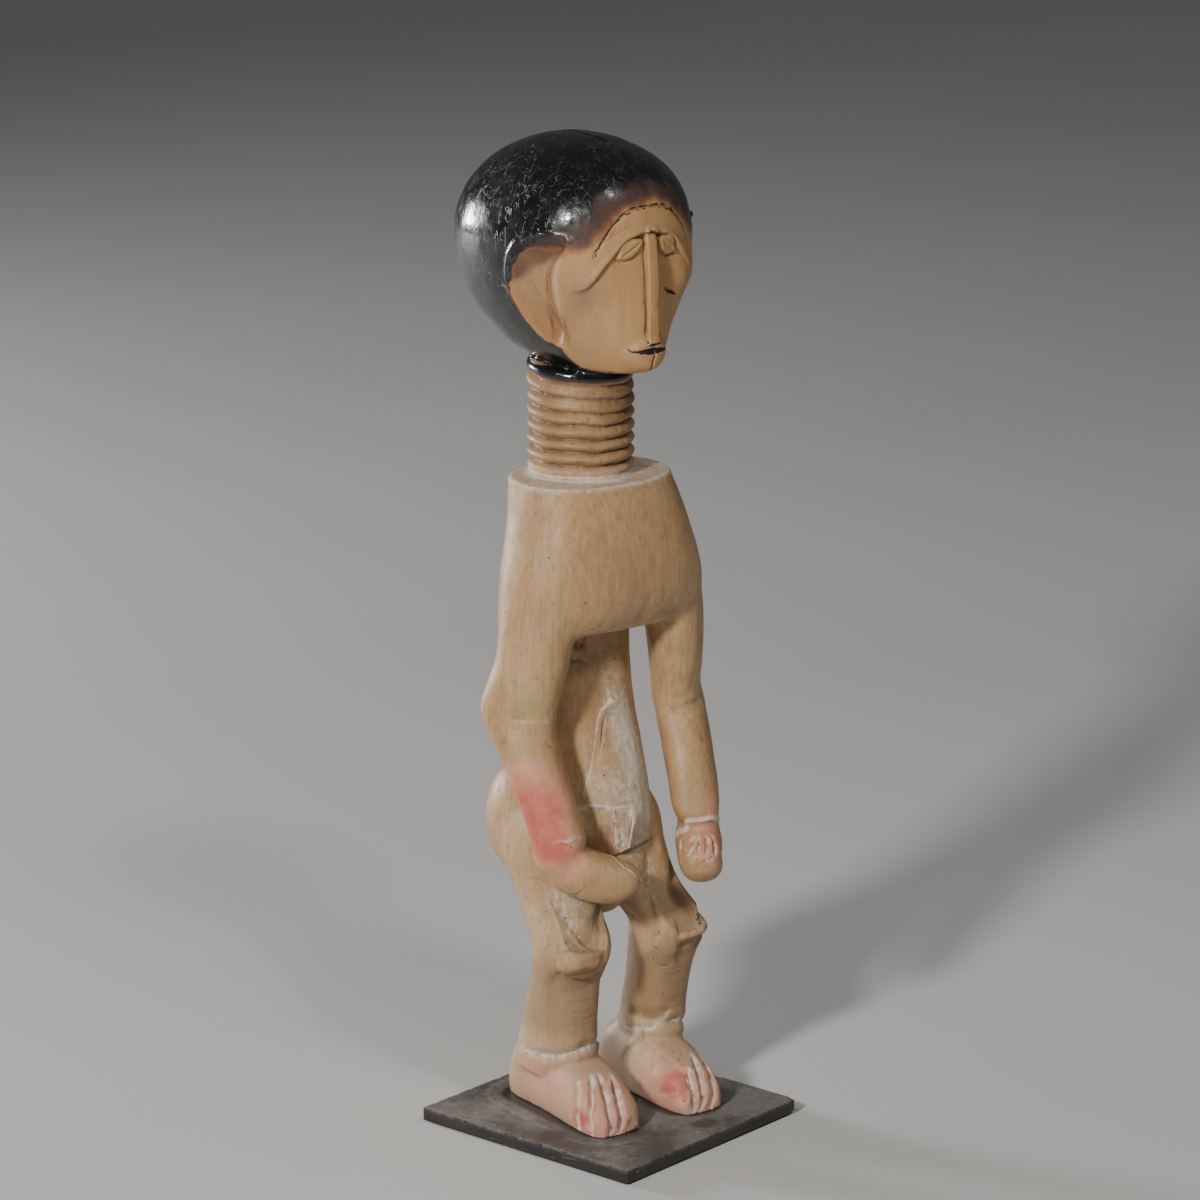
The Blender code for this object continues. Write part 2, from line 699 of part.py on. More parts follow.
def base_plate(slate):
    plate = box("base_plate", (-PLATE_WIDTH / 2, -PLATE_DEPTH / 2, PLATE_BOTTOM),
                (PLATE_WIDTH / 2, PLATE_DEPTH / 2, PLATE_TOP), slate)
    plate.rotation_euler.z = math.radians(PLATE_TURN)
    edge = plate.modifiers.new("worn_edges", "BEVEL")
    edge.width = PLATE_EDGE * MM
    edge.segments = 2
    shank, head = SCREW_SHANK / 2 + FIT_GAP, SCREW_HEAD / 2 + FIT_GAP
    low, high = PLATE_BOTTOM - CUT_PAST, PLATE_TOP + CUT_PAST
    cone_start = SCREW_BOTTOM + SCREW_HEAD_RIM + FIT_GAP
    cone_end = SCREW_BOTTOM + SCREW_HEAD_HEIGHT + FIT_GAP
    profile = [(0, low), (head, low), (head, cone_start), (shank, cone_end), (shank, high), (0, high)]
    for side, label in ((-1, "right"), (1, "left")):
        hole = turned(f"{label}_plate_hole", profile, HOLE_SIDES)
        hole.location = ((side * SCREW_X + FIGURE_SHIFT) * MM, SCREW_Y * MM, 0)
        cut(plate, hole, f"{label}_plate_hole")
    return plate


def base_felt(felt):
    half_width, half_depth = PLATE_WIDTH / 2 - FELT_INSET, PLATE_DEPTH / 2 - FELT_INSET
    sheet = box("base_felt", (-half_width, -half_depth, 0), (half_width, half_depth, FELT_TOP), felt)
    sheet.rotation_euler.z = math.radians(PLATE_TURN)
    return sheet


def main():
    clear_scene()
    stand = bpy.data.objects.new("figure_stand", None)
    stand.location = (FIGURE_SHIFT * MM, 0, 0)
    bpy.context.scene.collection.objects.link(stand)
    wood = paint("pale_wood", (0.52, 0.34, 0.19), 0.55)
    steel = paint("zinc_steel", (0.62, 0.62, 0.60), 0.35, 1.0)
    slate = paint("black_board", (0.05, 0.045, 0.042), 0.6)
    felt = paint("black_felt", (0.02, 0.02, 0.02), 0.95)
    carved_figure(wood, stand)
    for side, label in ((-1, "right"), (1, "left")):
        foot_screw(f"{label}_foot_screw", steel, side).parent = stand
    base_plate(slate)
    base_felt(felt)


main()
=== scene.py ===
"""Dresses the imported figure: the carving with its face, lacquered hair and worn pigment, and its board."""

import math

import bmesh
import bpy
import numpy as np
from bpy.props import FloatProperty, FloatVectorProperty, IntProperty, PointerProperty
from mathutils import Matrix, Vector, kdtree, noise


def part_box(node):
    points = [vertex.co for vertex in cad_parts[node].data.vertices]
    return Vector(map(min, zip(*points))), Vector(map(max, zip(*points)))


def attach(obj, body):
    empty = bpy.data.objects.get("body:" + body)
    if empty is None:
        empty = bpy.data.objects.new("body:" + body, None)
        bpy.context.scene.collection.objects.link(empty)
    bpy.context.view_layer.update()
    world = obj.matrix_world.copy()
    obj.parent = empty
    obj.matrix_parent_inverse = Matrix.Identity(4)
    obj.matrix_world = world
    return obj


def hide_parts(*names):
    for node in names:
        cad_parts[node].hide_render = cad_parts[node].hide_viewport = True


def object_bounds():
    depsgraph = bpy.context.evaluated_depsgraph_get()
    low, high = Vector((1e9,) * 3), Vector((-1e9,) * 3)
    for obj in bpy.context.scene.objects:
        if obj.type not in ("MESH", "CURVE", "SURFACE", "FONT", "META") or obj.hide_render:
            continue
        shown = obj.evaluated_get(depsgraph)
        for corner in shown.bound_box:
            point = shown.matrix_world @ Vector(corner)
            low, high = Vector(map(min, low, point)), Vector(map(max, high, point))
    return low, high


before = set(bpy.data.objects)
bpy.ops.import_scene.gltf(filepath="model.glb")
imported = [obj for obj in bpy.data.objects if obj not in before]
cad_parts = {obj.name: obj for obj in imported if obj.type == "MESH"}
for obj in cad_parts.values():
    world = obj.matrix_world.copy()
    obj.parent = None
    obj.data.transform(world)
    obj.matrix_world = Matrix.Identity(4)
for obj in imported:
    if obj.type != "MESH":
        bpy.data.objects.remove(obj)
CAD_BOX = [list(corner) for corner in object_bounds()]

bl_info = {
    "name": "Carved Standing Figure",
    "version": (1, 0, 0),
    "blender": (4, 5, 0),
    "location": "View3D > Sidebar > Carving",
    "description": "Carves, colours and lights a wooden standing figure on its board",
    "category": "Object",
}

# ---------------------------------------------------------------- the figure's own frame, in millimetres
# The figure faces -Y and its middle plane is x = 0. Levels are above the surface that the board stands on.
FIGURE_LOW, FIGURE_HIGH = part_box("carved_figure")
SOLE = 8.3
ANKLE = SOLE + 33.0
KNEE = ANKLE + 56.0
HIP = KNEE + 50.0
CHEST_BOTTOM = HIP + 109.0
SHOULDER = CHEST_BOTTOM + 76.0
HEAD_BASE = SHOULDER + 54.0
HEAD_HEIGHT = 113.5
HEAD_TOP = HEAD_BASE + HEAD_HEIGHT
ELBOW = CHEST_BOTTOM - 39.0
WRIST = ELBOW - 62.0
TOE_FRONT = 39.0
KNEE_OUT = 30.0

MM = (FIGURE_HIGH.z - FIGURE_LOW.z) / (HEAD_TOP - SOLE)
FIGURE_ORIGIN = Vector((
    (FIGURE_LOW.x + FIGURE_HIGH.x) / 2,
    FIGURE_LOW.y + TOE_FRONT * MM,
    FIGURE_LOW.z - SOLE * MM,
))

NECK_BACK = 30.0  # the neck's axis behind the figure's y = 0, from which the head reaches forward and back
NECK_MIDDLE = NECK_BACK - 0.5  # the middle of the neck's rings, a touch in front of that axis
NECK_CLEAR = 29.5  # a little over the neck's widest ring
HEAD_WIDTH = 111.0
HEAD_FRONT = 58.0
HEAD_BACK = 66.0
RING_POINTS = 96  # corners of every outline that the forms are skinned over


# ---------------------------------------------------------------- curves and skins
def eased(rows, steps=8):
    """The rows of a table with smooth rows set between them, as a Catmull-Rom curve."""
    rows = np.array(rows, float)
    padded = np.vstack([2 * rows[0] - rows[1], rows, 2 * rows[-1] - rows[-2]])
    smooth = []
    for i in range(1, len(rows)):
        a, b, c, d = padded[i - 1], padded[i], padded[i + 1], padded[i + 2]
        for t in np.arange(steps) / steps:
            bend = (2 * a - 5 * b + 4 * c - d) * t**2 + (3 * b - a - 3 * c + d) * t**3
            smooth.append(b + 0.5 * ((c - a) * t + bend))
    return np.array(smooth + [rows[-1]])


def mirrored(path, side):
    """A path given for the figure's right side, on the side asked for."""
    return np.array(path, float) * (1 if side < 0 else -1, 1, 1)


def outline(squareness):
    """Places round a superellipse of half size 1, as (across, along)."""
    turn = 2 * math.pi * np.arange(RING_POINTS) / RING_POINTS
    across = np.sign(np.cos(turn)) * abs(np.cos(turn)) ** (2 / squareness)
    along = np.sign(np.sin(turn)) * abs(np.sin(turn)) ** (2 / squareness)
    return across, along


def level_ring(z, half_width, front, back, squareness=2.2, middle_x=0.0, tilt=0.0, narrowing=0.0):
    """A level outline, half_width to each side of middle_x, from front (-Y) to back (+Y)."""
    across, along = outline(squareness)
    half_depth = (back - front) / 2
    x = middle_x + half_width * across * (1 - narrowing * (1 - along) / 2)
    y = (front + back) / 2 + half_depth * along
    return np.stack([x, y, z + tilt * half_depth * along], axis=1)


def limb_ring(centre, half_long, half_short, yaw, lean=0.0, squareness=2.3):
    """An outline across a limb. Its long side points to yaw in plan, and lean lifts that side."""
    across, along = outline(squareness)
    long_way = np.array((math.sin(yaw), math.cos(yaw), lean))
    short_way = np.array((math.cos(yaw), -math.sin(yaw), 0.0))
    return np.array(centre) + np.outer(across * half_long, long_way) + np.outer(along * half_short, short_way)


def upright_ring(centre, half_width, half_height, way, squareness=2.5):
    """An upright outline across something that points along the level direction way."""
    across, along = outline(squareness)
    side_way = np.array((-way[1], way[0], 0.0))
    ring = np.array(centre) + np.outer(across * half_width, side_way)
    ring[:, 2] += along * half_height
    return ring


def add_skin(bm, rings):
    """A closed skin over outlines, added to the mesh that all the forms share."""
    loops = [[bm.verts.new(point) for point in ring] for ring in rings]
    faces = [bm.faces.new(loops[0]), bm.faces.new(loops[-1])]
    for low, high in zip(loops, loops[1:]):
        for i in range(RING_POINTS):
            j = (i + 1) % RING_POINTS
            faces.append(bm.faces.new((low[i], low[j], high[j], high[i])))
    bmesh.ops.recalc_face_normals(bm, faces=faces)


def add_pebble(bm, centre, half_sizes):
    """A smooth lens or pebble."""
    made = bmesh.ops.create_icosphere(bm, subdivisions=4, radius=1.0)["verts"]
    for vert in made:
        vert.co = Vector([c + v * h for c, v, h in zip(centre, vert.co, half_sizes)])


# ---------------------------------------------------------------- the forms, before any cutting
HEAD_SHARES = [  # share of the height, of the width, of the front and back reach, and narrowing to the front
    (0.000, 0.34, 0.62, 0.30, 0.30),
    (0.030, 0.48, 0.92, 0.44, 0.44),
    (0.100, 0.66, 1.00, 0.66, 0.43),
    (0.220, 0.83, 1.00, 0.85, 0.31),
    (0.340, 0.93, 1.00, 0.96, 0.21),
    (0.470, 0.99, 1.00, 1.00, 0.14),
    (0.600, 1.00, 0.99, 1.00, 0.09),
    (0.720, 0.93, 0.96, 0.95, 0.07),
    (0.820, 0.80, 0.88, 0.84, 0.06),
    (0.900, 0.62, 0.72, 0.68, 0.05),
    (0.960, 0.40, 0.46, 0.46, 0.03),
    (0.990, 0.20, 0.23, 0.25, 0.01),
    (1.000, 0.05, 0.06, 0.07, 0.00),
]


def head_form(bm):
    rings = []
    for height, width, front, back, narrowing in eased(HEAD_SHARES):
        rings.append(level_ring(
            HEAD_BASE + height * HEAD_HEIGHT,
            max(width, 0.01) * HEAD_WIDTH / 2,  # the eased table may run just below 0
            NECK_BACK - front * HEAD_FRONT,
            NECK_BACK + back * HEAD_BACK,
            narrowing=narrowing,
        ))
    add_skin(bm, rings)


NECK_RINGS = [  # level of each groove at the neck's axis, and how far its plane tips forward
    (SHOULDER + 0.5, 0.00),
    (SHOULDER + 6.5, 0.01),
    (SHOULDER + 13.0, 0.02),
    (SHOULDER + 20.5, 0.04),
    (SHOULDER + 27.5, 0.10),
    (SHOULDER + 34.0, 0.16),
    (SHOULDER + 41.0, 0.20),
    (SHOULDER + 47.0, 0.20),
    (SHOULDER + 56.0, 0.10),
]
NECK_HALF = 26.0
NECK_GROOVE = 2.0
NECK_FULLNESS = 0.6  # under 1, the rings are fuller than a sine wave
NECK_STEPS = 10  # outlines from one groove to the next


def neck_form(bm):
    """A column of swelling rings with sharp grooves between them."""
    rings = []
    for (low, low_tip), (high, high_tip) in zip(NECK_RINGS, NECK_RINGS[1:]):
        for t in np.arange(NECK_STEPS) / NECK_STEPS:
            half = NECK_HALF - NECK_GROOVE * (1 - math.sin(math.pi * t) ** NECK_FULLNESS)
            z, tip = low + t * (high - low), low_tip + t * (high_tip - low_tip)
            rings.append(level_ring(z, half, NECK_MIDDLE - half, NECK_MIDDLE + half, 2.0, tilt=tip))
    add_skin(bm, rings)


CHEST_ROWS = [  # share of the height, half width, front, back
    (0.00, 55.0, -6.0, 42.0),
    (0.04, 56.3, -11.5, 43.0),
    (0.15, 56.8, -17.0, 44.0),
    (0.32, 55.8, -20.0, 46.0),
    (0.55, 51.4, -18.4, 47.5),
    (0.78, 46.5, -13.8, 49.5),
    (0.95, 42.8, -9.0, 52.5),
    (0.985, 42.0, -8.0, 53.3),
    (1.00, 40.0, -6.0, 51.5),
]


def chest_form(bm):
    rings = []
    for height, half, front, back in eased(CHEST_ROWS):
        z = CHEST_BOTTOM + height * (SHOULDER - CHEST_BOTTOM)
        rings.append(level_ring(z, half, front, back, 2.35))
    add_skin(bm, rings)


TRUNK_ROWS = [  # level above the hips, half width, front, back
    (-41.0, 13.5, 8.0, 40.0),
    (-30.0, 23.5, -4.0, 52.0),
    (-15.0, 34.0, -10.5, 60.5),
    (2.0, 35.5, -12.5, 64.0),
    (20.0, 33.0, -11.5, 62.0),
    (41.0, 31.0, -5.5, 56.0),
    (68.0, 29.5, 4.5, 50.5),
    (93.0, 29.5, 10.5, 46.0),
    (120.0, 30.0, 12.5, 41.5),
]


def trunk_form(bm):
    rings = []
    for height, half, front, back in eased(TRUNK_ROWS):
        rings.append(level_ring(HIP + height, half, front, back, 2.05, narrowing=0.16))
    add_skin(bm, rings)


RIGHT_LEG_ROWS = [  # level, middle x, middle y, half width, half depth
    (HIP + 30, 19.0, 30.0, 9.0, 18.0),
    (HIP + 22, 21.5, 29.0, 16.0, 26.0),
    (HIP + 10, 24.0, 26.5, 20.0, 30.5),
    (HIP - 8, 26.5, 22.0, 19.5, 28.5),
    (KNEE + 22, 28.5, 11.0, 17.2, 23.8),
    (KNEE + 5, 30.0, -1.5, 18.5, 19.5),
    (KNEE - 4, 30.0, -2.0, 18.5, 19.0),
    (KNEE - 18, 29.5, 3.0, 16.5, 17.5),
    (ANKLE + 20, 28.5, 8.5, 15.5, 20.5),
    (ANKLE, 27.5, 13.0, 15.5, 24.0),
    (ANKLE - 14, 26.5, 20.0, 15.0, 25.0),
]
LEFT_LEG_ROWS = [  # the left thigh starts nearer to the middle, and its shin is slimmer
    (HIP + 30, 12.5, 30.0, 9.0, 18.0),
    (HIP + 22, 14.0, 29.0, 15.0, 26.0),
    (HIP + 10, 16.0, 27.0, 19.2, 30.0),
    (HIP - 8, 19.0, 24.0, 19.0, 28.2),
    (KNEE + 22, 23.5, 14.5, 18.1, 24.0),
    (KNEE + 5, 29.5, -1.5, 18.5, 19.5),
    (KNEE - 4, 30.0, -2.0, 18.2, 18.8),
    (KNEE - 18, 29.5, 2.0, 16.0, 16.5),
    (ANKLE + 20, 29.0, 5.5, 14.5, 17.0),
    (ANKLE, 28.5, 9.0, 14.0, 20.0),
    (ANKLE - 14, 27.0, 17.0, 14.0, 22.0),
]


def leg_form(bm, side):
    rings = []
    for z, x, y, half_width, half_depth in eased(RIGHT_LEG_ROWS if side < 0 else LEFT_LEG_ROWS):
        rings.append(level_ring(z, half_width, y - half_depth, y + half_depth, 2.35, side * x))
    add_skin(bm, rings)


FOOT_ROWS = [  # share of the length from the heel, half width, top above the sole, sideways swing
    (0.00, 6.5, 13.0, 0.0),
    (0.04, 10.5, 24.0, 0.0),
    (0.14, 13.2, 33.0, 0.0),
    (0.34, 14.2, 35.0, 0.0),
    (0.54, 15.4, 33.0, 0.3),
    (0.70, 16.4, 28.5, 0.8),
    (0.84, 16.0, 22.0, 1.2),
    (0.94, 14.4, 15.5, 1.4),
    (1.00, 11.0, 8.5, 1.4),
]
FOOT_LENGTH = 86.0
HEEL_BACK = 47.0
BELOW_SOLE = 6.0  # how far the raw form runs below the sole, where it is cut flat later
FOOT_MIDDLE = 25.0
FEET = {-1: (1.0, 0.0), 1: (0.93, 8.0)}  # share of the width, and how much shorter the foot is at the heel


def foot_form(bm, side):
    rings = []
    slim, shorter = FEET[side]
    for share, half_width, top, swing in eased(FOOT_ROWS):
        half_height = (top + BELOW_SOLE) / 2
        along = HEEL_BACK - shorter - share * (FOOT_LENGTH - shorter)
        centre = (side * (FOOT_MIDDLE + swing), along, SOLE - BELOW_SOLE + half_height)
        rings.append(upright_ring(centre, slim * half_width, half_height, (0, -1), 2.7))
    add_skin(bm, rings)


ARM_ROWS = [  # level, middle x, middle y, half the long way, half the short way, lean
    (CHEST_BOTTOM + 40, 33.0, 12.0, 19.0, 15.6, 0.0),
    (CHEST_BOTTOM + 10, 41.0, 9.5, 19.0, 15.8, 0.0),
    (CHEST_BOTTOM - 10, 44.0, 10.0, 18.6, 14.6, 0.0),
    (ELBOW + 14, 47.0, 13.0, 19.0, 13.6, 0.05),
    (ELBOW, 49.0, 16.0, 19.0, 13.0, 0.20),
    (ELBOW - 12, 49.0, 11.5, 18.4, 13.0, 0.30),
    (ELBOW - 28, 47.0, 3.5, 17.1, 12.7, 0.35),
    (ELBOW - 45, 45.0, -4.0, 16.0, 12.5, 0.35),
    (WRIST + 7, 43.6, -8.2, 15.4, 12.3, 0.28),
    (WRIST - 1, 43.8, -9.0, 12.8, 11.2, 0.15),
]
ARM_TURN = math.radians(37.0)


def arm_form(bm, side):
    rings = []
    for z, x, y, half_long, half_short, lean in eased(ARM_ROWS):
        rings.append(limb_ring((side * x, y, z), half_long, half_short, side * ARM_TURN, lean))
    add_skin(bm, rings)


HAND_ROWS = [  # share of the length, half height, half thickness, drop of the top
    (0.00, 8.5, 7.2, 0.0),
    (0.08, 12.0, 10.4, -1.0),
    (0.25, 14.0, 11.7, -0.6),
    (0.50, 13.1, 11.5, 4.4),
    (0.75, 10.9, 10.6, 8.7),
    (0.92, 7.3, 8.3, 12.0),
    (1.00, 3.8, 4.6, 15.0),
]
HANDS = {-1: (46.0, math.radians(35.0)), 1: (34.0, math.radians(58.0))}  # length, and turn to the front
HAND_START = (47.0, -5.0, WRIST)
HAND_LINE = (14.0, 22.0)  # how far the hand's middle line is below its top, at the wrist and at the tips
HAND_CLEAR = (13.0, 17.5)  # planing the thighs and the belly stays this far from that line
PEBBLES = [  # middle on the figure's left side, and half sizes: buttock, knee and wrist
    ((21.0, 41.0, HIP + 6.0), (24.0, 26.0, 34.0)),
    ((30.0, -10.5, KNEE), (13.0, 10.0, 9.0)),
    ((45.5, -8.0, WRIST - 5.0), (9.5, 12.5, 11.0)),
]


def hand_place(side, share):
    """The hand's top middle at this share of its length, and the level way that it points."""
    length, turn = HANDS[side]
    way = np.array((-side * math.cos(turn), -math.sin(turn), 0.0))
    return np.array(HAND_START) * (side, 1, 1) + way * share * length, way


def hand_form(bm, side):
    rings = []
    for share, half_height, half_thickness, drop in eased(HAND_ROWS):
        top, way = hand_place(side, share)
        centre = top - np.array((0, 0, drop + half_height))
        rings.append(upright_ring(centre, half_thickness, half_height, way, 2.4))
    add_skin(bm, rings)


# ---------------------------------------------------------------- cutting
def distance_to_path(points, path):
    """How far each point is from the path, and the share of the path's length at the nearest place."""
    path = np.asarray(path, float)
    ways = np.diff(path, axis=0)
    lengths = np.maximum(np.linalg.norm(ways, axis=1), 1e-9)
    before = np.concatenate([[0.0], np.cumsum(lengths)])
    nearest = np.full(len(points), np.inf)
    share = np.zeros(len(points))
    for start, way, length, reached in zip(path, ways, lengths, before):
        along = np.clip((points - start) @ way / length**2, 0, 1)
        gap = np.linalg.norm(points - start - along[:, None] * way, axis=1)
        closer = gap < nearest
        nearest[closer] = gap[closer]
        share[closer] = (reached + along[closer] * length) / before[-1]
    return nearest, share


def side_of_path(points, normals, path):
    """The distance to the path, above 0 to the left of its direction as seen from outside the surface."""
    path = np.asarray(path, float)
    nearest = np.full(len(points), np.inf)
    signed = np.zeros(len(points))
    share = np.zeros(len(points))
    for i, (start, end) in enumerate(zip(path, path[1:])):
        way = end - start
        along = np.clip((points - start) @ way / (way @ way), 0, 1)
        off = points - start - along[:, None] * way
        gap = np.linalg.norm(off, axis=1)
        closer = gap < nearest
        left = np.cross(normals[closer], way)
        nearest[closer] = gap[closer]
        signed[closer] = np.where((off[closer] * left).sum(1) >= 0, gap[closer], -gap[closer])
        share[closer] = (i + along[closer]) / (len(path) - 1)
    return signed, share


def smooth_step(value, low, high):
    """From 0 at low to 1 at high, level at both ends."""
    t = np.clip((value - low) / (high - low), 0, 1)
    return t * t * (3 - 2 * t)


def wobble(points, size, seed):
    """Smooth noise from -1 to 1 with features of this size."""
    shift = Vector((seed * 13.1, seed * 7.7, seed * 3.3))
    return np.array([noise.noise(Vector(point) / size + shift) for point in points])


def points_of(mesh):
    """The mesh's points as an array, one row for each."""
    points = np.empty(len(mesh.vertices) * 3, np.float32)
    mesh.vertices.foreach_get("co", points)
    return points.reshape(-1, 3).astype(float)


NEARBY = 14.0  # below this radius, the search tree finds points faster than a test of all of them


class Carving:
    """The figure's skin while it is cut, in millimetres in the figure's own frame."""

    def __init__(self, mesh):
        self.mesh = mesh
        count = len(mesh.vertices)
        self.points = points_of(mesh)
        ends = np.empty(len(mesh.edges) * 2, np.int32)
        mesh.edges.foreach_get("vertices", ends)
        self.ends = ends.reshape(-1, 2)
        self.links = np.bincount(self.ends.ravel(), minlength=count).astype(float)
        self.look()
        self.tree = kdtree.KDTree(count)
        for i, point in enumerate(self.points):
            self.tree.insert(point, i)
        self.tree.balance()
        gaps = []
        for side in HANDS:
            line = [hand_place(side, share)[0] - (0, 0, drop) for share, drop in zip((0.0, 1.0), HAND_LINE)]
            gaps.append(distance_to_path(self.points, line)[0])
        self.hand_gap = np.minimum(*gaps)

    def look(self):
        """Puts the moved points back into the mesh and reads the new normals."""
        self.mesh.vertices.foreach_set("co", self.points.astype(np.float32).ravel())
        self.mesh.update()
        normals = np.empty(len(self.points) * 3, np.float32)
        self.mesh.vertex_normals.foreach_get("vector", normals)
        self.normals = normals.reshape(-1, 3).astype(float)

    def neighbours_mean(self, values):
        """For each point, the mean of the values at the points that an edge joins it to."""
        total = np.zeros_like(values)
        for i in range(values.shape[1]):
            gathered = np.bincount(self.ends[:, 0], values[self.ends[:, 1], i], len(values))
            gathered += np.bincount(self.ends[:, 1], values[self.ends[:, 0], i], len(values))
            total[:, i] = gathered / self.links
        return total

    def relax(self, weight, rounds):
        """Evens the skin out where weight is above 0."""
        chosen = weight[:, None]
        for _ in range(rounds):
            self.points += 0.5 * chosen * (self.neighbours_mean(self.points) - self.points)

    def hollowness(self, rounds):
        """Above 0 in creases and below 0 on edges, in millimetres over a few neighbours."""
        depth = ((self.neighbours_mean(self.points) - self.points) * self.normals).sum(1, keepdims=True)
        for _ in range(rounds):
            depth = 0.5 * depth + 0.5 * self.neighbours_mean(depth)
        return depth[:, 0]

    def settled(self, path, steps=6):
        """A smooth path through the given places, laid on the skin."""
        return np.array([self.points[self.tree.find(point)[1]] for point in eased(path, steps)])

    def within(self, path, reach):
        """The points in the box or ball that holds all places within reach of the path."""
        path = np.asarray(path)
        middle = (path.min(0) + path.max(0)) / 2
        radius = np.linalg.norm(path - middle, axis=1).max() + reach
        if radius < NEARBY:
            return np.array([found[1] for found in self.tree.find_range(middle, radius)], int)
        inside = (self.points > path.min(0) - reach) & (self.points < path.max(0) + reach)
        return np.flatnonzero(inside.all(1))

    def cut(self, path, width, depth, sharp=False, fade=0.25, settle=True):
        """A groove along the path, or a ridge where depth is below 0. Its ends run out over fade."""
        path = self.settled(path) if settle else np.asarray(path, float)
        chosen = self.within(path, width)
        gap, share = distance_to_path(self.points[chosen], path)
        ends = smooth_step(np.minimum(share, 1 - share), -0.02, max(fade, 1e-3))
        across = np.clip(1 - gap / (width / 2 * (0.35 + 0.65 * ends)), 0, 1)
        shape = across if sharp else across * across * (3 - 2 * across)
        self.points[chosen] -= self.normals[chosen] * (depth * ends * shape)[:, None]

    def step_down(self, path, drop, spread, edge=1.2, fade=0.2, left=True):
        """Lowers the skin on one side of the path, with a crisp edge at the path and a soft run-out."""
        path = self.settled(path)
        chosen = self.within(path, spread)
        signed, share = side_of_path(self.points[chosen], self.normals[chosen], path)
        signed = signed if left else -signed
        ends = smooth_step(np.minimum(share, 1 - share), -0.02, max(fade, 1e-3))
        fall = smooth_step(signed, 0, edge) * (1 - smooth_step(signed, edge, spread))
        self.points[chosen] -= self.normals[chosen] * (drop * ends * fall)[:, None]

    def shave(self, through, facing, reach, centre, deepest, soft=6.0):
        """Planes the skin flat: what stands a little proud of the plane near its centre is cut back."""
        facing = facing / np.linalg.norm(facing)
        gap = np.linalg.norm(self.points - centre, axis=1)
        proud = (self.points - through) @ facing
        strength = 1 - smooth_step(gap, reach - soft, reach)
        outward = self.normals @ facing > 0.1
        strength *= smooth_step(self.hand_gap, *HAND_CLEAR)
        strength *= 1 - smooth_step(proud, 0.45 * deepest, deepest)
        chosen = (proud > 0) & (strength > 0) & outward
        self.points[chosen] -= (proud * strength)[chosen, None] * facing

    def scoops(self, count, seed, low, high, depth, length, width):
        """Shallow knife strokes at random places between two levels, mostly along the grain."""
        draw = np.random.default_rng(seed)
        places = np.flatnonzero((self.points[:, 2] > low) & (self.points[:, 2] < high))
        for place in draw.choice(places, count):
            lean = draw.normal(0, 0.25, 3) + (0, 0, 1)
            way = lean - self.normals[place] * (lean @ self.normals[place])
            way *= length * draw.uniform(0.6, 1.2) / 2 / max(np.linalg.norm(way), 0.2)
            start, end = self.points[place] - way, self.points[place] + way
            wide, deep = width * draw.uniform(0.7, 1.3), depth * draw.uniform(0.4, 1.2)
            self.cut([start, end], wide, deep, fade=0.5, settle=False)


# ---------------------------------------------------------------- the cut features, as places on the figure
# A path has (x, y, z) places near the skin, which are laid on it before cutting.
# The figure's right side is x < 0.
BROW_LINE = [
    (0, -25, 471), (-8, -25, 470.5), (-14, -24, 468), (-19, -22, 463.5), (-24, -21, 457), (-29, -19, 448),
]
BROW_EDGE = [  # across and up: the lower edge of the raised brow
    (-46, 432), (-37, 431.5), (-31, 432.5), (-28, 436.5), (-24, 443.5), (-19, 450), (-13, 455.5), (-8, 457.5),
    (-4, 458.5),
]
BROW_SCRATCHES = [[(-15, -24, 461), (-22, -21, 456.5)], [(-8, -25, 463), (-19, -22, 458.5)]]
EYE_OUT, EYE_UP = 11.0, 451.0
EYE_TILT = math.radians(33.0)
EYES = {-1: (8.2, 4.4), 1: (7.0, 4.7)}  # half length and half height
NOSE_SIDE = [(-3.5, -27, 459), (-3.5, -28, 440), (-3.7, -28, 405)]
MOUTH_LINE = [(-11.5, -24, 401.6), (-5, -26, 401.2), (0, -27, 401.2), (5, -26, 401.4), (11, -24, 402)]
CHIN_LINE = [(0, -28, 404.5), (0.4, -27, 400), (-0.3, -27, 396), (0, -26, 390)]
NOSE_END = [(-3.2, -30, 404.4), (3.2, -30, 404.4)]
SCAR = [(9, -26, 430.5), (19, -22, 425.5)]
EAR_RIM = [  # back and up: the ear's outer edge
    (-9, 458), (-3, 459.5), (3, 459.5), (9, 458), (15, 454), (19.5, 448), (22.5, 441), (24, 434), (24, 427),
    (22.5, 419), (19.5, 411), (15, 404), (10, 399), (6, 396.5),
]
EAR_FRONT = [  # back and up: the crisp edge where the ear's hollow meets the cheek
    (-9, 458), (-9.5, 453), (-6.5, 447), (-4, 441), (-2.5, 433), (-1.5, 425), (-1, 418), (0, 411), (2.5, 403),
    (6, 396.5),
]
EAR_DEEPEST = [(398, 0.50), (416, 0.58), (430, 0.72), (446, 0.80)]  # level, and how far across it is deepest
EAR_RIM_SIDE = [  # share of the way from the rim to the deepest place, and how far the skin is raised
    (0, 2.1), (0.08, 2.8), (0.22, 2.3), (0.34, 0.0), (0.6, -3.2), (0.85, -5.6), (1.0, -6.4),
]
EAR_FRONT_SIDE = [(0, -6.4), (0.3, -5.2), (0.75, -1.0), (1.0, 0.8)]  # the same from there to the front edge
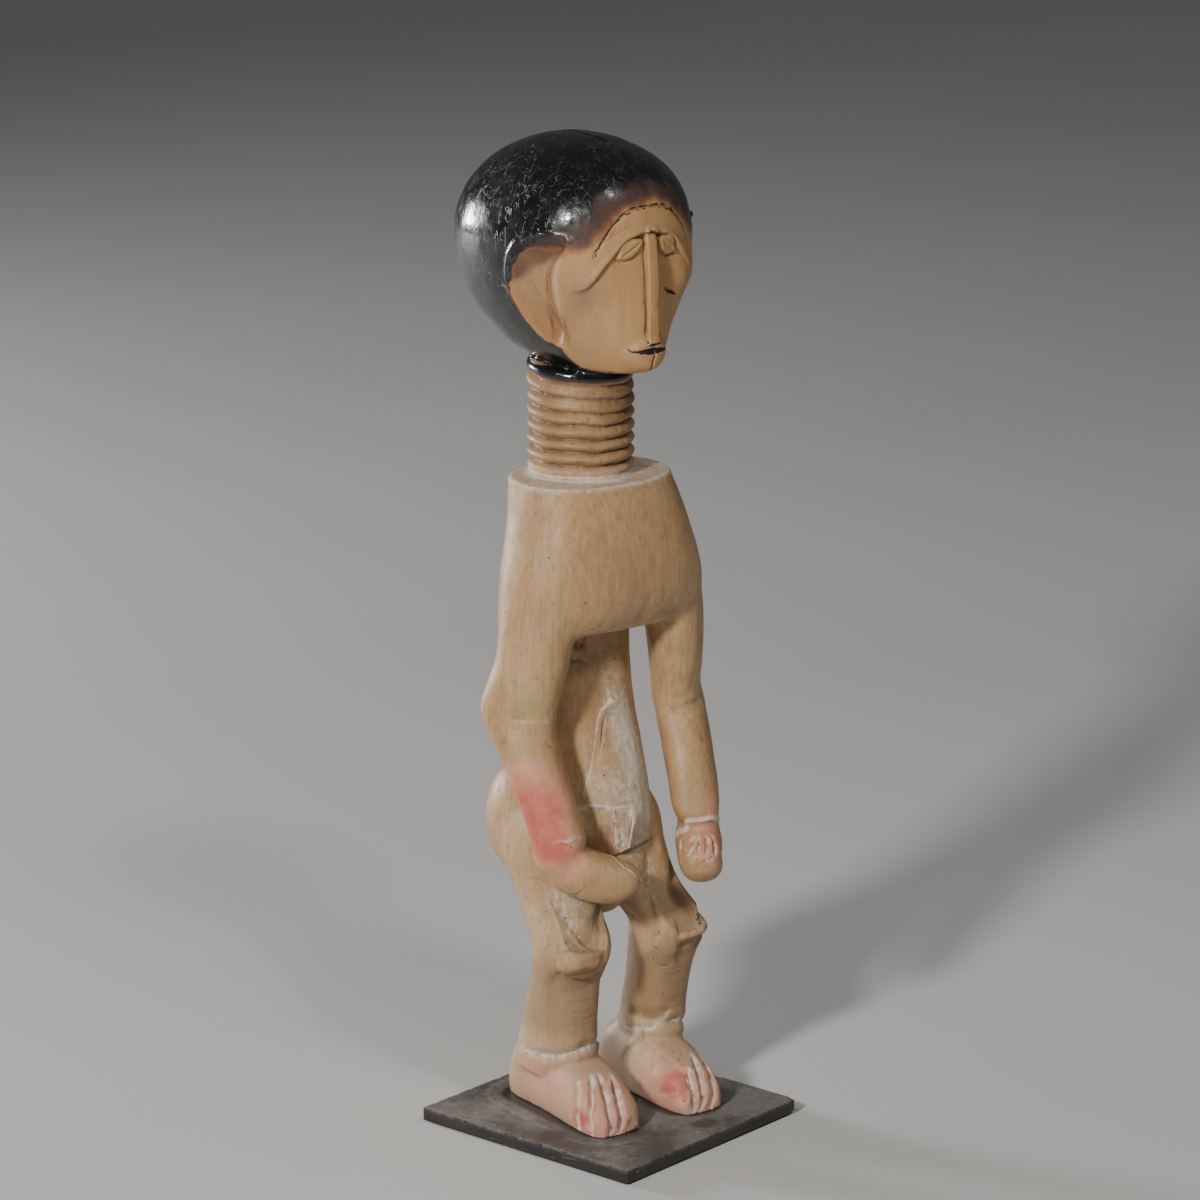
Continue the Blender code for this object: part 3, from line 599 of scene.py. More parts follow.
HAIR_EDGE = [
    (12, -21, 482), (0, -21, 482), (-14, -21, 478), (-24, -18, 471), (-32, -15, 463), (-38, -9, 458.5),
    (-43, -3, 455.5), (-47, 4, 454), (-49, 10, 451), (-50, 15, 446), (-51, 18.5, 439), (-50, 21, 432),
    (-49, 22.3, 425), (-46, 21.3, 418), (-42, 18.8, 411), (-36, 14.6, 404), (-30, 10, 399), (-24, 9, 393),
    (-16, 3, 388), (-8, -1, 386), (8, -1, 386),
]
PARTING = [
    (0, -14, 487), (0, -6, 492), (0, 14, 497), (0, 38, 499.5), (0, 66, 493), (0, 86, 474), (0, 95, 448),
]
LEAF = [  # the edge of the leaf-shaped facet on the belly
    (2, 6, 217), (-4, 5, 215.5), (-8, 4, 212), (-11, 2, 205), (-15, 0, 194), (-18, -1, 187), (-24, -1, 175),
]
LEAF_INNER = [(-2, 5, 214), (-6, 3, 207), (-8.5, 1, 201), (-12, -2, 193)]
BELLY_STEPS = [
    [(-24, -3, 168.5), (-18, -7, 168.5), (-12, -9, 168)],
    [(-9, -10, 167), (-4, -11, 166.6), (1, -11, 166)],
    [(8, -10, 165.5), (12, -10, 165), (17, -9, 164)],
]
BELLY_GROOVES = [
    [(-9, -10, 164), (-9, -11, 154), (-7.5, -11, 144)],
    [(-6.5, -12, 155), (-4, -11, 143)],
    [(1, -11, 164), (-0.5, -12, 153), (-2, -12, 143)],
]
RIGHT_TOES = [
    [(-36, -17, 31), (-39.5, -21, 24), (-41, -24, 9)],
    [(-30, -19, 34), (-35, -26, 26), (-38.5, -33, 9)],
    [(-26, -20, 33.5), (-30, -31, 25), (-33.5, -38, 9)],
    [(-19, -21, 32.5), (-23.5, -32, 25), (-27, -39, 9)],
]
LEFT_TOES = [
    [(24, -27, 28), (21.5, -34, 20), (19, -39, 9)],
    [(31, -22, 32), (28, -32, 25), (24, -39, 9)],
    [(36, -20, 32), (35, -31, 24), (30, -39, 9)],
]
FIST_FINGERS = [
    [(28, -15, 145), (27.5, -19, 140), (27, -22, 134)],
    [(32, -22, 150), (29, -25, 146), (26, -27, 139)],
    [(33.5, -23, 150), (31.5, -27, 146), (28.5, -30, 140)],
    [(38, -25, 150), (34, -30, 146), (31, -33, 140)],
    [(41, -26, 149), (38, -32, 145), (34, -36, 139)],
]
HAND_FINGERS = [
    [(-20, -20, 147), (-20, -29, 145), (-15, -36, 140)],
    [(-13, -16, 145), (-8, -26, 141), (-4, -30, 137)],
    [(-9, -14, 144), (-3, -21, 141), (1, -25, 138)],
]
RIGHT_ELBOW = [(-60, 12, 218), (-56, 4, 217), (-49, -1, 217), (-41, -1, 215)]
LEFT_ELBOW = [(34, 10, 208), (39, 0, 210), (47, -3, 212), (54, 2, 213)]
RIGHT_WRIST = [(-54, -17, 159), (-50, -20, 160), (-46, -21, 160), (-39, -21, 161)]
LEFT_WRIST = [
    (30, -5, 146), (31, -18, 153), (36, -23, 154.5), (43, -25, 155), (50, -22, 153.5), (55, -17, 152),
]
FIST_BASE = [(27, -30, 137), (31, -34, 140), (38, -33, 140), (45, -29, 141), (51, -22, 141)]
RIGHT_ANKLE = [
    (-43, 24, 39), (-43, 10, 39.5), (-41, 0, 41), (-37, -7, 43), (-31, -11, 45), (-20, -9, 46), (-13, 2, 44),
]
LEFT_ANKLE = [(12, 11, 41), (14, 0, 43.5), (19, -8, 47.5), (30, -11, 48), (38, -6, 45), (42, 8, 41)]
RIGHT_KNEECAP = [(-47, -11, 91), (-43, -15, 87), (-36, -17, 85), (-28, -18, 84), (-22, -19, 88)]
LEFT_KNEECAP = [(23, -20, 91.5), (30, -21, 93.5), (38, -21, 95), (46, -15, 95)]
THIGH_EDGE = [
    (-46, -8, 132), (-41, -7, 124), (-40, -10, 116), (-39, -15, 111), (-34, -20, 104), (-24, -21, 97),
]
RIGHT_CAP_TOP = [(-48, -9, 96), (-44, -16, 100), (-35, -21, 100.5), (-27, -21, 98), (-22, -20, 95)]
LEFT_CAP_TOP = [(22, -20, 95), (29, -22, 98), (37, -21, 99), (45, -15, 99)]
LEFT_INSTEP = [(14, 0, 43), (17, -13, 35), (19, -23, 31), (22, -29, 27), (20, -35, 20), (15, -37, 11)]
CHEST_EDGE = [(-30, -12, 258), (-15, -14, 256), (0, -15, 256), (15, -14, 256), (30, -12, 258)]
NECK_GROOVES = [  # level at the neck's axis, and how far the groove tips
    (338.0, 0.00), (345.0, 0.01), (351.5, 0.03), (358.5, 0.02), (365.5, 0.05), (373.0, 0.07), (380.5, 0.10),
]
BELLY_PLANES = [  # a place on the plane, the way it faces, its reach, its centre and the deepest cut
    ((-8, -10.6, 158), (-0.40, -0.90, -0.18), 25.0, None, 6.0),
    ((6, -10.8, 158), (0.36, -0.92, -0.15), 25.0, None, 6.0),
    ((4, -10.5, 146), (0.20, -0.50, -0.84), 24.0, (3, -8, 140), 13.0),
]
KNEE_PLANES = [  # the same, for the left leg: above and below the kneecap
    ((31, -20.5, 99), (0.06, -0.80, 0.60), 33.0, (31, -10, 116), 5.0),
    ((31, -17.5, 84), (0, -0.98, -0.18), 30.0, (30, -14, 72), 5.0),
]
LEFT_LEG_PLANES = [
    ((12.6, 0, 92), (-1, -0.18, 0.05), 46.0, None, 4.0),
    ((14, -6, 40), (-0.77, -0.32, 0.55), 34.0, (13, -14, 28), 6.0),
    ((45, -6, 112), (0.82, -0.55, 0.15), 24.0, None, 4.0),
]
CAP_SWELLS = [  # a path, its width, its depth, whether it is sharp, and the share over which its ends run out
    ([(-47, -11, 93), (-41, -17, 94), (-32, -20, 94), (-24, -19, 91)], 14.0, -3.0, False, 0.2),
    ([(23, -20, 95), (32, -21, 96.5), (40, -20, 97.5), (47, -14, 97)], 8.0, -2.4, False, 0.2),
]
LEG_MARKS = [
    ([(-34, -19, 87), (-30, -20, 90), (-24, -20, 92)], 1.3, 1.5, True, 0.3),
    ([(13, -10, 89), (16, -14, 90)], 1.6, 0.9, True, 0.5),
    ([(14, -13, 99), (17, -14, 97)], 4.0, 1.0, False, 0.5),
    ([(16, -11, 79), (20, -14, 79), (25, -15, 79)], 2.4, 0.9, False, 0.5),
    ([(-47, 16, 131), (-46, 6, 133), (-44, -3, 134)], 1.8, 0.5, True, 0.4),
]
UNDER_CHEST = [
    ([(-20, 9, 249), (-14, 8, 248), (-9, 9, 247)], 9.0, 2.2, False, 0.2),
    ([(-22, 10, 241), (-14, 8, 240), (-8, 9, 236)], 5.0, 1.4, False, 0.4),
]
TOE_CHIPS = [
    ([(-34, -36, 12), (-30, -38, 11)], 4.0, 1.6, False, 0.4),
    ([(-37, -30, 11), (-36, -33, 10)], 3.0, 1.0, False, 0.4),
]


def cut_all(body, cuts):
    for path, width, depth, sharp, fade in cuts:
        body.cut(path, width, depth, sharp=sharp, fade=fade)


def plane_all(body, planes, side=1):
    """Planes the skin along each plane of the list, or along its mirror image where side is -1."""
    flip = np.array((side, 1.0, 1.0))
    for through, facing, reach, centre, deepest in planes:
        middle = through if centre is None else centre
        body.shave(through * flip, facing * flip, reach, middle * flip, deepest)


def side_and_gap(across, up, path):
    """Distance to a path drawn in two directions, below 0 to the left of the path."""
    path = eased(path, 6)
    signed = np.full(len(across), np.inf)
    for start, end in zip(path, path[1:]):
        way = end - start
        off = np.stack([across, up], axis=1) - start
        along = np.clip(off @ way / (way @ way), 0, 1)
        gap = np.linalg.norm(off - along[:, None] * way, axis=1)
        left = way[0] * off[:, 1] - way[1] * off[:, 0] > 0
        closer = gap < abs(signed)
        signed[closer] = np.where(left, -gap, gap)[closer]
    return signed


def ear_place(body):
    """Which points are by an ear, how far each is inside its outer edge and behind its front edge."""
    x, y, z = body.points.T
    near = np.flatnonzero((z > 388) & (z < 468) & (abs(x) > 18) & (y > -18) & (y < 34))
    inside = side_and_gap(y[near], z[near], EAR_RIM)
    behind = -side_and_gap(y[near], z[near], EAR_FRONT)
    return near, inside, behind


def cut_face(body):
    """The sunk heart of the face under raised brows, with the nose, eyes and muzzle left standing."""
    x, y, z = body.points.T
    face = np.flatnonzero((z > 385) & (z < 478) & (y < 12) & (abs(x) < 46))
    x, z = body.points[face, 0], body.points[face, 2]
    below_brow = side_and_gap(-abs(x), z, BROW_EDGE)
    sunk = smooth_step(below_brow, -0.3, 1.5) * (1 - smooth_step(below_brow, 6, 34))
    sunk *= 1 - smooth_step(abs(x), 26, 36)
    sunk *= 1 - 0.85 * smooth_step(x, 13, 25)
    sunk *= 1 - smooth_step(abs(x), 37, 43)
    lip = np.exp(-((below_brow + 1.0) / 1.4) ** 2) * (1 - smooth_step(abs(x), 26, 36))
    proud = 0.5 * lip - 2.6 * sunk
    bridge = 1 - smooth_step(abs(x), 2.5, 3.5)
    bridge *= smooth_step(z, 403.6, 404.6) * (1 - smooth_step(z, 454, 463))
    proud = np.maximum(proud, proud + bridge * (1.9 + 1.4 * smooth_step(z, 420, 445)))
    muzzle = 1 - smooth_step(np.hypot(x / np.where(x > 0, 12.5, 15.5), (z - 399) / 10.0), 0.5, 1.0)
    proud += 2.0 * muzzle * (1 - 0.5 * bridge)
    cheek = np.exp(-((z - 433) / 12.0) ** 2) * smooth_step(abs(x), 12, 26) * (1 - smooth_step(abs(x), 34, 43))
    proud += np.where(x > 0, 2.8, 1.2) * cheek
    forward = smooth_step(-body.normals[face, 1], 0.05, 0.4)
    body.points[face] += body.normals[face] * (proud * forward)[:, None]
    body.look()
    body.cut(mirrored(NOSE_SIDE, -1), 1.6, 1.1, sharp=True, fade=0.05)
    body.cut(mirrored(NOSE_SIDE, 1), 1.4, 0.6, sharp=True, fade=0.15)
    for side, (half_length, half_height) in EYES.items():
        cut_eye(body, side, half_length, half_height)
    body.look()
    body.cut(MOUTH_LINE, 4.0, 1.9, fade=0.5)
    body.cut(CHIN_LINE, 1.3, 0.9, sharp=True, fade=0.1)
    body.cut(NOSE_END, 1.8, 0.9, fade=0.1)
    body.cut(SCAR, 2.2, 1.2, fade=0.2)
    for side in (-1, 1):
        body.cut(mirrored(BROW_LINE, side), 1.5, 1.1, sharp=True, fade=0.02)
    for scratch in BROW_SCRATCHES:
        body.cut(scratch, 1.0, 0.25, fade=0.3)


def cut_eye(body, side, half_length, half_height):
    """An almond that rises towards the nose, in a sunk outline, with a slit along it."""
    x, y, z = body.points.T
    near = np.flatnonzero((abs(x - side * EYE_OUT) < 13) & (abs(z - EYE_UP) < 12) & (y < 0))
    across = EYE_OUT - side * x[near]
    up = z[near] - EYE_UP
    along = across * math.cos(EYE_TILT) + up * math.sin(EYE_TILT)
    over = up * math.cos(EYE_TILT) - across * math.sin(EYE_TILT)
    share = np.clip(abs(along) / half_length, 0, 1)
    edge = half_height * (1 - share**2.2) ** 0.8
    inside = edge - abs(over)
    full = np.clip(inside / 2.6, 0, 1)
    rise = 2.2 * (full * (2 - full)) ** 0.8 * (abs(along) < half_length)
    outline = 0.6 * np.exp(-((inside + 0.5) / 0.7) ** 2) * (abs(along) < half_length + 0.8)
    corner = 1.3 * np.exp(-(((along - half_length) / 2.0) ** 2) - ((over - 2.2) / 1.6) ** 2)
    slit = np.exp(-((over + 0.2) / 0.42) ** 2)
    slit *= 1 - smooth_step(abs(along), 0.55 * half_length, 0.85 * half_length)
    if side > 0:  # the left eye is worn and has almost lost its slit
        rise += 0.35 * wobble(body.points[near], 2.2, 21) * (inside > 0)
        slit *= 0.3
    body.points[near, 1] -= rise - outline - corner - 0.8 * slit


def cut_ears(body):
    """A raised rim round a hollow that ends at a crisp edge on the cheek side."""
    near, inside, behind = ear_place(body)
    x, y, z = body.points[near].T
    across = np.maximum(inside, 0) + np.maximum(behind, 0)
    share = np.maximum(inside, 0) / np.maximum(across, 1e-6)
    deepest = np.interp(z, *zip(*EAR_DEEPEST))
    rim_side = np.interp(share / deepest, *zip(*EAR_RIM_SIDE))
    front_side = np.interp((share - deepest) / (1 - deepest), *zip(*EAR_FRONT_SIDE))
    in_ear = (inside > 0) & (behind > 0)
    proud = np.where(share < deepest, rim_side, front_side)
    proud = np.where(in_ear, proud, 0.0)
    rim_foot = 1.9 * (1 - smooth_step(-inside, 0.0, 1.2))
    proud = np.where((inside <= 0) & (behind > -2), rim_foot, proud)
    front_foot = 0.5 * (1 - smooth_step(-behind, 0.0, 4.0)) * smooth_step(z, 412, 424)
    proud = np.where((behind <= 0) & (inside > -1), front_foot, proud)
    above_lobe = smooth_step(z, 396, 404)
    outside = above_lobe * (1 - smooth_step(z, 455, 460) * (y < 3))
    wide = np.where(in_ear, smooth_step(across, 2.0, 13.0) * above_lobe, outside)
    body.points[near] += body.normals[near] * (proud * wide)[:, None]
    body.look()


def cut_hair(body):
    body.cut(PARTING, 1.5, 0.8, sharp=True, fade=0.06)


def cut_neck(body):
    """Uneven rings: sharp grooves round the neck with swelling bands between them."""
    x, y, z = body.points.T
    from_axis = np.hypot(x, y - NECK_MIDDLE)
    near = np.flatnonzero((z > SHOULDER - 1) & (z < HEAD_BASE + 4) & (from_axis < NECK_CLEAR))
    x, y, z = body.points[near].T
    drawn_out = body.points[near] * (1, 1, 0.5)
    uneven = 1.1 * wobble(drawn_out, 16, 31) + 0.5 * wobble(drawn_out, 6, 32)
    nearest = np.full(len(near), 9.0)
    for level, tip in NECK_GROOVES:
        plane = level + tip * (y - NECK_BACK) + uneven
        nearest = np.minimum(nearest, abs(z - plane))
    swell = 1.1 - 3.2 * np.exp(-nearest / 1.25)
    swell *= smooth_step(z, SHOULDER - 1, SHOULDER + 3)
    away = np.stack([x, y - NECK_MIDDLE], axis=1)
    away /= np.linalg.norm(away, axis=1, keepdims=True)
    body.points[near, :2] += away * (swell * smooth_step(HEAD_BASE + 4 - z, 0, 6))[:, None]
    body.look()


def cut_body(body):
    """The level ledge round the neck, the belly's leaf and facets, and the cuts under the chest."""
    x, y, z = body.points.T
    ledge = (z > SHOULDER - 2.6) & (z < SHOULDER + 3) & (np.hypot(x, y - NECK_MIDDLE) > 27)
    body.points[ledge, 2] = np.minimum(z[ledge], SHOULDER - 0.9 + 0.02 * (y[ledge] - 20))
    body.look()
    body.step_down(LEAF, 2.0, 17.0, edge=0.9, fade=0.12, left=False)
    body.look()
    body.cut(LEAF_INNER, 1.8, 1.1, sharp=True, fade=0.4)
    plane_all(body, BELLY_PLANES)
    body.look()
    for step in BELLY_STEPS:
        body.step_down(step, 0.9, 10.0, edge=0.7, fade=0.15, left=False)
    for groove in BELLY_GROOVES:
        body.cut(groove, 2.0, 1.2, sharp=True, fade=0.35)
    body.look()
    cut_all(body, UNDER_CHEST)


def cut_arms(body):
    """The elbows' steps, the wrists' ridges and the fingers."""
    for elbow, left in ((RIGHT_ELBOW, False), (LEFT_ELBOW, True)):
        body.step_down(elbow, 0.8, 9.0, edge=0.8, fade=0.25, left=not left)
        body.cut(elbow, 1.6, 0.5, sharp=True, fade=0.3)
    body.cut(LEFT_WRIST, 4.5, -1.2, fade=0.2)
    body.cut(RIGHT_WRIST, 4.0, -0.7, fade=0.4)
    body.look()
    for finger in FIST_FINGERS:
        body.cut(finger, 2.8, 1.7, sharp=True, fade=0.3)
    for finger in HAND_FINGERS:
        body.cut(finger, 2.0, 0.9, sharp=True, fade=0.35)
    body.step_down(FIST_BASE, 0.9, 9.0, edge=0.8, fade=0.2, left=False)


def cut_legs(body):
    """Planed thighs and shins, the kneecaps' steps, and the knife strokes down the shins."""
    for side in (-1, 1):
        plane_all(body, KNEE_PLANES, side)
    plane_all(body, LEFT_LEG_PLANES)
    body.look()
    cut_all(body, CAP_SWELLS)
    body.look()
    body.step_down(THIGH_EDGE, 2.0, 22.0, edge=1.6, fade=0.2, left=True)
    body.step_down(RIGHT_CAP_TOP, 1.6, 15.0, edge=2.0, fade=0.2, left=True)
    body.step_down(LEFT_CAP_TOP, 1.5, 13.0, edge=2.0, fade=0.2, left=True)
    body.look()
    body.step_down(RIGHT_KNEECAP, 2.4, 20.0, edge=2.2, fade=0.15, left=False)
    body.step_down(LEFT_KNEECAP, 2.0, 18.0, edge=2.0, fade=0.15, left=False)
    body.look()
    cut_all(body, LEG_MARKS)
    draw = np.random.default_rng(11)
    for side in (-1, 1):
        middle = side * KNEE_OUT
        for level in np.arange(52, 84, 3.1):
            start, end = middle - 13 + draw.uniform(-2, 3), middle + 12 - draw.uniform(0, 6)
            low = level + draw.uniform(-0.8, 0.8)
            stroke = [(start, -9, low + 1.5), (middle, -16, low), (end, -9, low + 2.0)]
            body.cut(stroke, 3.4, draw.uniform(0.15, 0.4), fade=0.35)


def cut_feet(body):
    """The toes, the ankles' creases, the left instep's step, the chipped toe and the flat soles."""
    for toe in RIGHT_TOES + LEFT_TOES:
        body.cut(toe, 5.0, 3.3, sharp=True, fade=0.18)
    body.look()
    for ankle in (RIGHT_ANKLE, LEFT_ANKLE):
        body.cut(ankle, 10.0, 1.2, fade=0.3)
        body.cut(ankle, 2.0, 0.8, sharp=True, fade=0.3)
    body.step_down(LEFT_INSTEP, 1.8, 18.0, edge=1.2, fade=0.12, left=False)
    cut_all(body, TOE_CHIPS)
    body.points[:, 2] = np.maximum(body.points[:, 2], SOLE)
    body.look()


def raw_forms():
    """All the forms as one mesh whose closed skins still run through each other."""
    bm = bmesh.new()
    head_form(bm)
    neck_form(bm)
    chest_form(bm)
    trunk_form(bm)
    for side in (-1, 1):
        leg_form(bm, side)
        foot_form(bm, side)
        arm_form(bm, side)
        hand_form(bm, side)
        for (x, y, z), half_sizes in PEBBLES:
            add_pebble(bm, (side * x, y, z), half_sizes)
    mesh = bpy.data.meshes.new("forms")
    bm.to_mesh(mesh)
    bm.free()
    return mesh


def with_modifiers(mesh, *settings):
    """The mesh after these modifiers, each given as (kind, {value name: value})."""
    worker = bpy.data.objects.new("worker", mesh)
    bpy.context.scene.collection.objects.link(worker)
    for kind, values in settings:
        modifier = worker.modifiers.new(kind.lower(), kind)
        for name, value in values.items():
            setattr(modifier, name, value)
    made = bpy.data.meshes.new_from_object(worker.evaluated_get(bpy.context.evaluated_depsgraph_get()))
    bpy.data.objects.remove(worker, do_unlink=True)
    return made


FINE_PLACES = [  # lowest and highest corners of what is cut finely
    ((-38, -60, 388), (38, 0, 476)),
    ((-56, -14, 394), (-26, 30, 462)),
    ((26, -14, 394), (56, 30, 462)),
    ((-46, -60, 8), (46, -14, 36)),
    ((-60, -60, 128), (60, -4, 162)),
    ((-27, -60, 142), (16, 12, 219)),
]


def with_finer_places(mesh):
    """The mesh with its cells halved where small features are cut."""
    bm = bmesh.new()
    bm.from_mesh(mesh)
    chosen = set()
    for low, high in FINE_PLACES:
        for edge in bm.edges:
            middle = (edge.verts[0].co + edge.verts[1].co) / 2
            if all(a < m < b for a, m, b in zip(low, middle, high)):
                chosen.add(edge)
    edges = sorted(chosen, key=lambda edge: edge.index)
    bmesh.ops.subdivide_edges(bm, edges=edges, cuts=1, use_grid_fill=True)
    bm.to_mesh(mesh)
    bm.free()
    return mesh


BLENDED = [  # where limbs run into each other: middle on the left side, and reach
    ((47, -14, 154), 22),
    ((52, -4, 148), 22),
    ((27, 34, 32), 24),
]
KNIFE_STROKES = [  # how many, seed, lowest and highest level, depth, length and width
    (260, 3, CHEST_BOTTOM - 60, SHOULDER, 0.22, 16.0, 7.0),
    (300, 4, ANKLE, CHEST_BOTTOM - 60, 0.30, 12.0, 6.0),
    (90, 5, SOLE + 4, ANKLE, 0.30, 9.0, 5.0),
    (110, 6, SHOULDER + 2, HEAD_BASE - 4, 0.45, 8.0, 3.0),
    (120, 7, HEAD_BASE, HEAD_TOP, 0.14, 14.0, 8.0),
]


def blend_forms(even, voxel):
    """Softens the seams between the fused forms, in more rounds where the cells are smaller."""
    even.relax(np.ones(len(even.points)), 4)
    z, y = even.points[:, 2], even.points[:, 1]
    shoulders = smooth_step(z, 238, 262) * (1 - smooth_step(z, 308, 322))
    seat = smooth_step(z, 105, 122) * (1 - smooth_step(z, 215, 235)) * smooth_step(y, 22, 34)
    flanks = smooth_step(z, 215, 240) * (1 - smooth_step(z, 250, 270)) * smooth_step(y, 25, 35)
    even.relax(np.clip(shoulders + seat + flanks, 0, 1), int(70 / voxel**2))
    blended = np.zeros(len(even.points))
    for side in (-1, 1):
        for middle, reach in BLENDED:
            gap = np.linalg.norm(even.points - np.array(middle) * (side, 1, 1), axis=1)
            blended = np.maximum(blended, 1 - smooth_step(gap, 0.5 * reach, reach))
    even.relax(blended, int(36 / voxel**2))
    even.look()


def carved_skin(voxel, triangles):
    """The figure's finished skin, in millimetres in its own frame."""
    fused = with_modifiers(raw_forms(), ("REMESH", {"mode": "VOXEL", "voxel_size": voxel}))
    blend_forms(Carving(fused), voxel)
    body = Carving(with_finer_places(fused))
    cut_legs(body)
    cut_body(body)
    cut_arms(body)
    cut_neck(body)
    cut_ears(body)
    cut_face(body)
    cut_hair(body)
    body.look()
    for strokes_here in KNIFE_STROKES:
        body.scoops(*strokes_here)
    below_head = 1 - smooth_step(body.points[:, 2], 372, 392)
    rough = 0.22 * wobble(body.points, 9.0, 1) + 0.09 * wobble(body.points, 2.6, 2) * below_head
    body.points += body.normals * rough[:, None]
    cut_feet(body)
    count = sum(polygon.loop_total - 2 for polygon in fused.polygons)
    return with_modifiers(fused, ("DECIMATE", {"ratio": min(1.0, triangles / count)}))


# ---------------------------------------------------------------- masks kept on the skin for the colours
def keep_mask(mesh, name, values):
    """Keeps a value for every point under this name, where the material reads it."""
    attribute = mesh.attributes.new(name, "FLOAT", "POINT")
    attribute.data.foreach_set("value", np.asarray(values, np.float32))


def blot(points, centre, reach, stretch=(1, 1, 1)):
    """A soft round spot, 1 at its centre and 0 beyond its reach."""
    gap = np.linalg.norm((points - np.array(centre)) / np.array(stretch), axis=1)
    return 1 - smooth_step(gap, 0.15 * reach, reach)


def strokes(body, paths, width):
    """A soft band along each of the paths."""
    mask = np.zeros(len(body.points))
    for path in paths:
        path = body.settled(path)
        chosen = body.within(path, width)
        gap, _ = distance_to_path(body.points[chosen], path)
        mask[chosen] = np.maximum(mask[chosen], 1 - smooth_step(gap, 0.2 * width, width))
    return mask


def ink_distance(body):
    """How far each point is outside the nearest blackened line, in millimetres."""
    lines = [(MOUTH_LINE, 1.5, 0.5), (CHIN_LINE, 0.42, 0.1), (NOSE_END, 0.8, 0.1), (SCAR, 0.95, 0.25)]
    lines += [(mirrored(BROW_LINE, side), 0.5, 0.05) for side in (-1, 1)]
    nearest = np.full(len(body.points), 6.0)
    for path, half, fade in lines:
        path = body.settled(path)
        chosen = body.within(path, 6.0)
        gap, share = distance_to_path(body.points[chosen], path)
        thick = half * (0.25 + 0.75 * smooth_step(np.minimum(share, 1 - share), 0, fade))
        nearest[chosen] = np.minimum(nearest[chosen], gap - thick)
    return nearest


BARE = -1.6


def hair_cover(body):
    """From BARE on wood to 1 in the lacquer. The edge is soft over the forehead and crisp round the ear."""
    sides = np.where(body.points[:, :1] > 0, -1.0, 1.0) * (1, 0, 0) + (0, 1, 1)
    cover = np.full(len(body.points), BARE)
    head = np.flatnonzero(body.points[:, 2] > 372)
    places, normals = (values[head] * sides[head] for values in (body.points, body.normals))
    signed, share = side_of_path(places, normals, body.settled(HAIR_EDGE))
    soft = 1.3 + 9.5 * (1 - smooth_step(share, 0.27, 0.42))
    cover[head] = np.clip(-signed / soft, BARE, 1)
    x, y, z = body.points.T
    neck = (z > 366) & (z < HEAD_BASE + 1) & (np.hypot(x, y - NECK_BACK) < NECK_CLEAR)
    cover[neck] = np.clip((z - 381.5 - 0.08 * (y - 10))[neck] / 1.5, BARE, 1)
    return cover


CHALK_LINES = [  # strength, paths and width of the white powder in and beside the cuts
    (0.85, RIGHT_TOES + LEFT_TOES, 2.2),
    (0.68, [RIGHT_ANKLE, LEFT_ANKLE], 1.6),
    (0.26, [RIGHT_ANKLE, LEFT_ANKLE], 5.0),
    (0.85, [LEFT_WRIST, LEFT_WRIST[1:]], 4.0),
    (0.75, FIST_FINGERS + HAND_FINGERS, 1.6),
    (0.55, [RIGHT_WRIST, RIGHT_WRIST[1:]], 2.2),
    (0.65, BELLY_STEPS, 1.8),
    (0.55, BELLY_GROOVES, 1.8),
    (0.50, [LEAF], 1.5),
    (0.35, [RIGHT_ELBOW, LEFT_ELBOW], 1.4),
    (0.50, [CHEST_EDGE], 5.0),
]
# In the tables of spots: strength, centre, reach and, where a spot isn't round, how it is stretched.
POWDER_SPOTS = [
    (0.85, (10, -10, 172), 48, (0.6, 1, 1.3)),
    (0.60, (6, 2, 215), 42, (0.45, 1, 1)),
    (0.50, (-18, -5, 178), 20),
    (0.35, (-10, 8, 245), 22),
    (0.28, (-38, -12, 126), 20, (0.7, 1, 1)),
]
PIGMENT_SPOTS = [
    (0.95, (-59, -6, 172), 31, (1, 1, 1.2)),
    (0.50, (-56, -8, 160), 25),
    (0.45, (-47, -24, 150), 18),
    (0.50, (36, -28, 145), 17),
    (0.30, (48, -26, 158), 22),
    (0.30, (-6, -13, 152), 14),
    (0.20, (44, -14, 118), 24),
    (0.42, (-33, -32, 18), 26),
    (0.38, (28, -34, 16), 22),
    (0.75, (15, -30, 22), 15),
    (0.30, (13, -14, 16), 26),
    (0.26, (-38, 8, 22), 36),
    (0.15, (-20, -20, 30), 30),
    (0.85, (-41, -24, 15), 9),
    (0.12, (-52, 48, 160), 40),
]
OLIVE_SPOTS = [
    (1.00, (-52, 0, 227), 15),
    (0.50, (-54, 2, 200), 18),
]
SMUDGE_SPOTS = [
    (1.00, (22, -14, 263), 13, (1.2, 1, 0.8)),
    (0.50, (-6, -18, 272), 16),
    (0.60, (6, 14, 248), 16),
    (0.40, (-30, -20, 300), 10),
    (0.50, (-33, -20, 428), 16),
    (0.55, (-38, -16, 415), 22, (1, 1, 1.3)),
]


def spots(points, table):
    """The soft spots of a table, added up."""
    return sum(strength * blot(points, centre, *shape) for strength, centre, *shape in table)


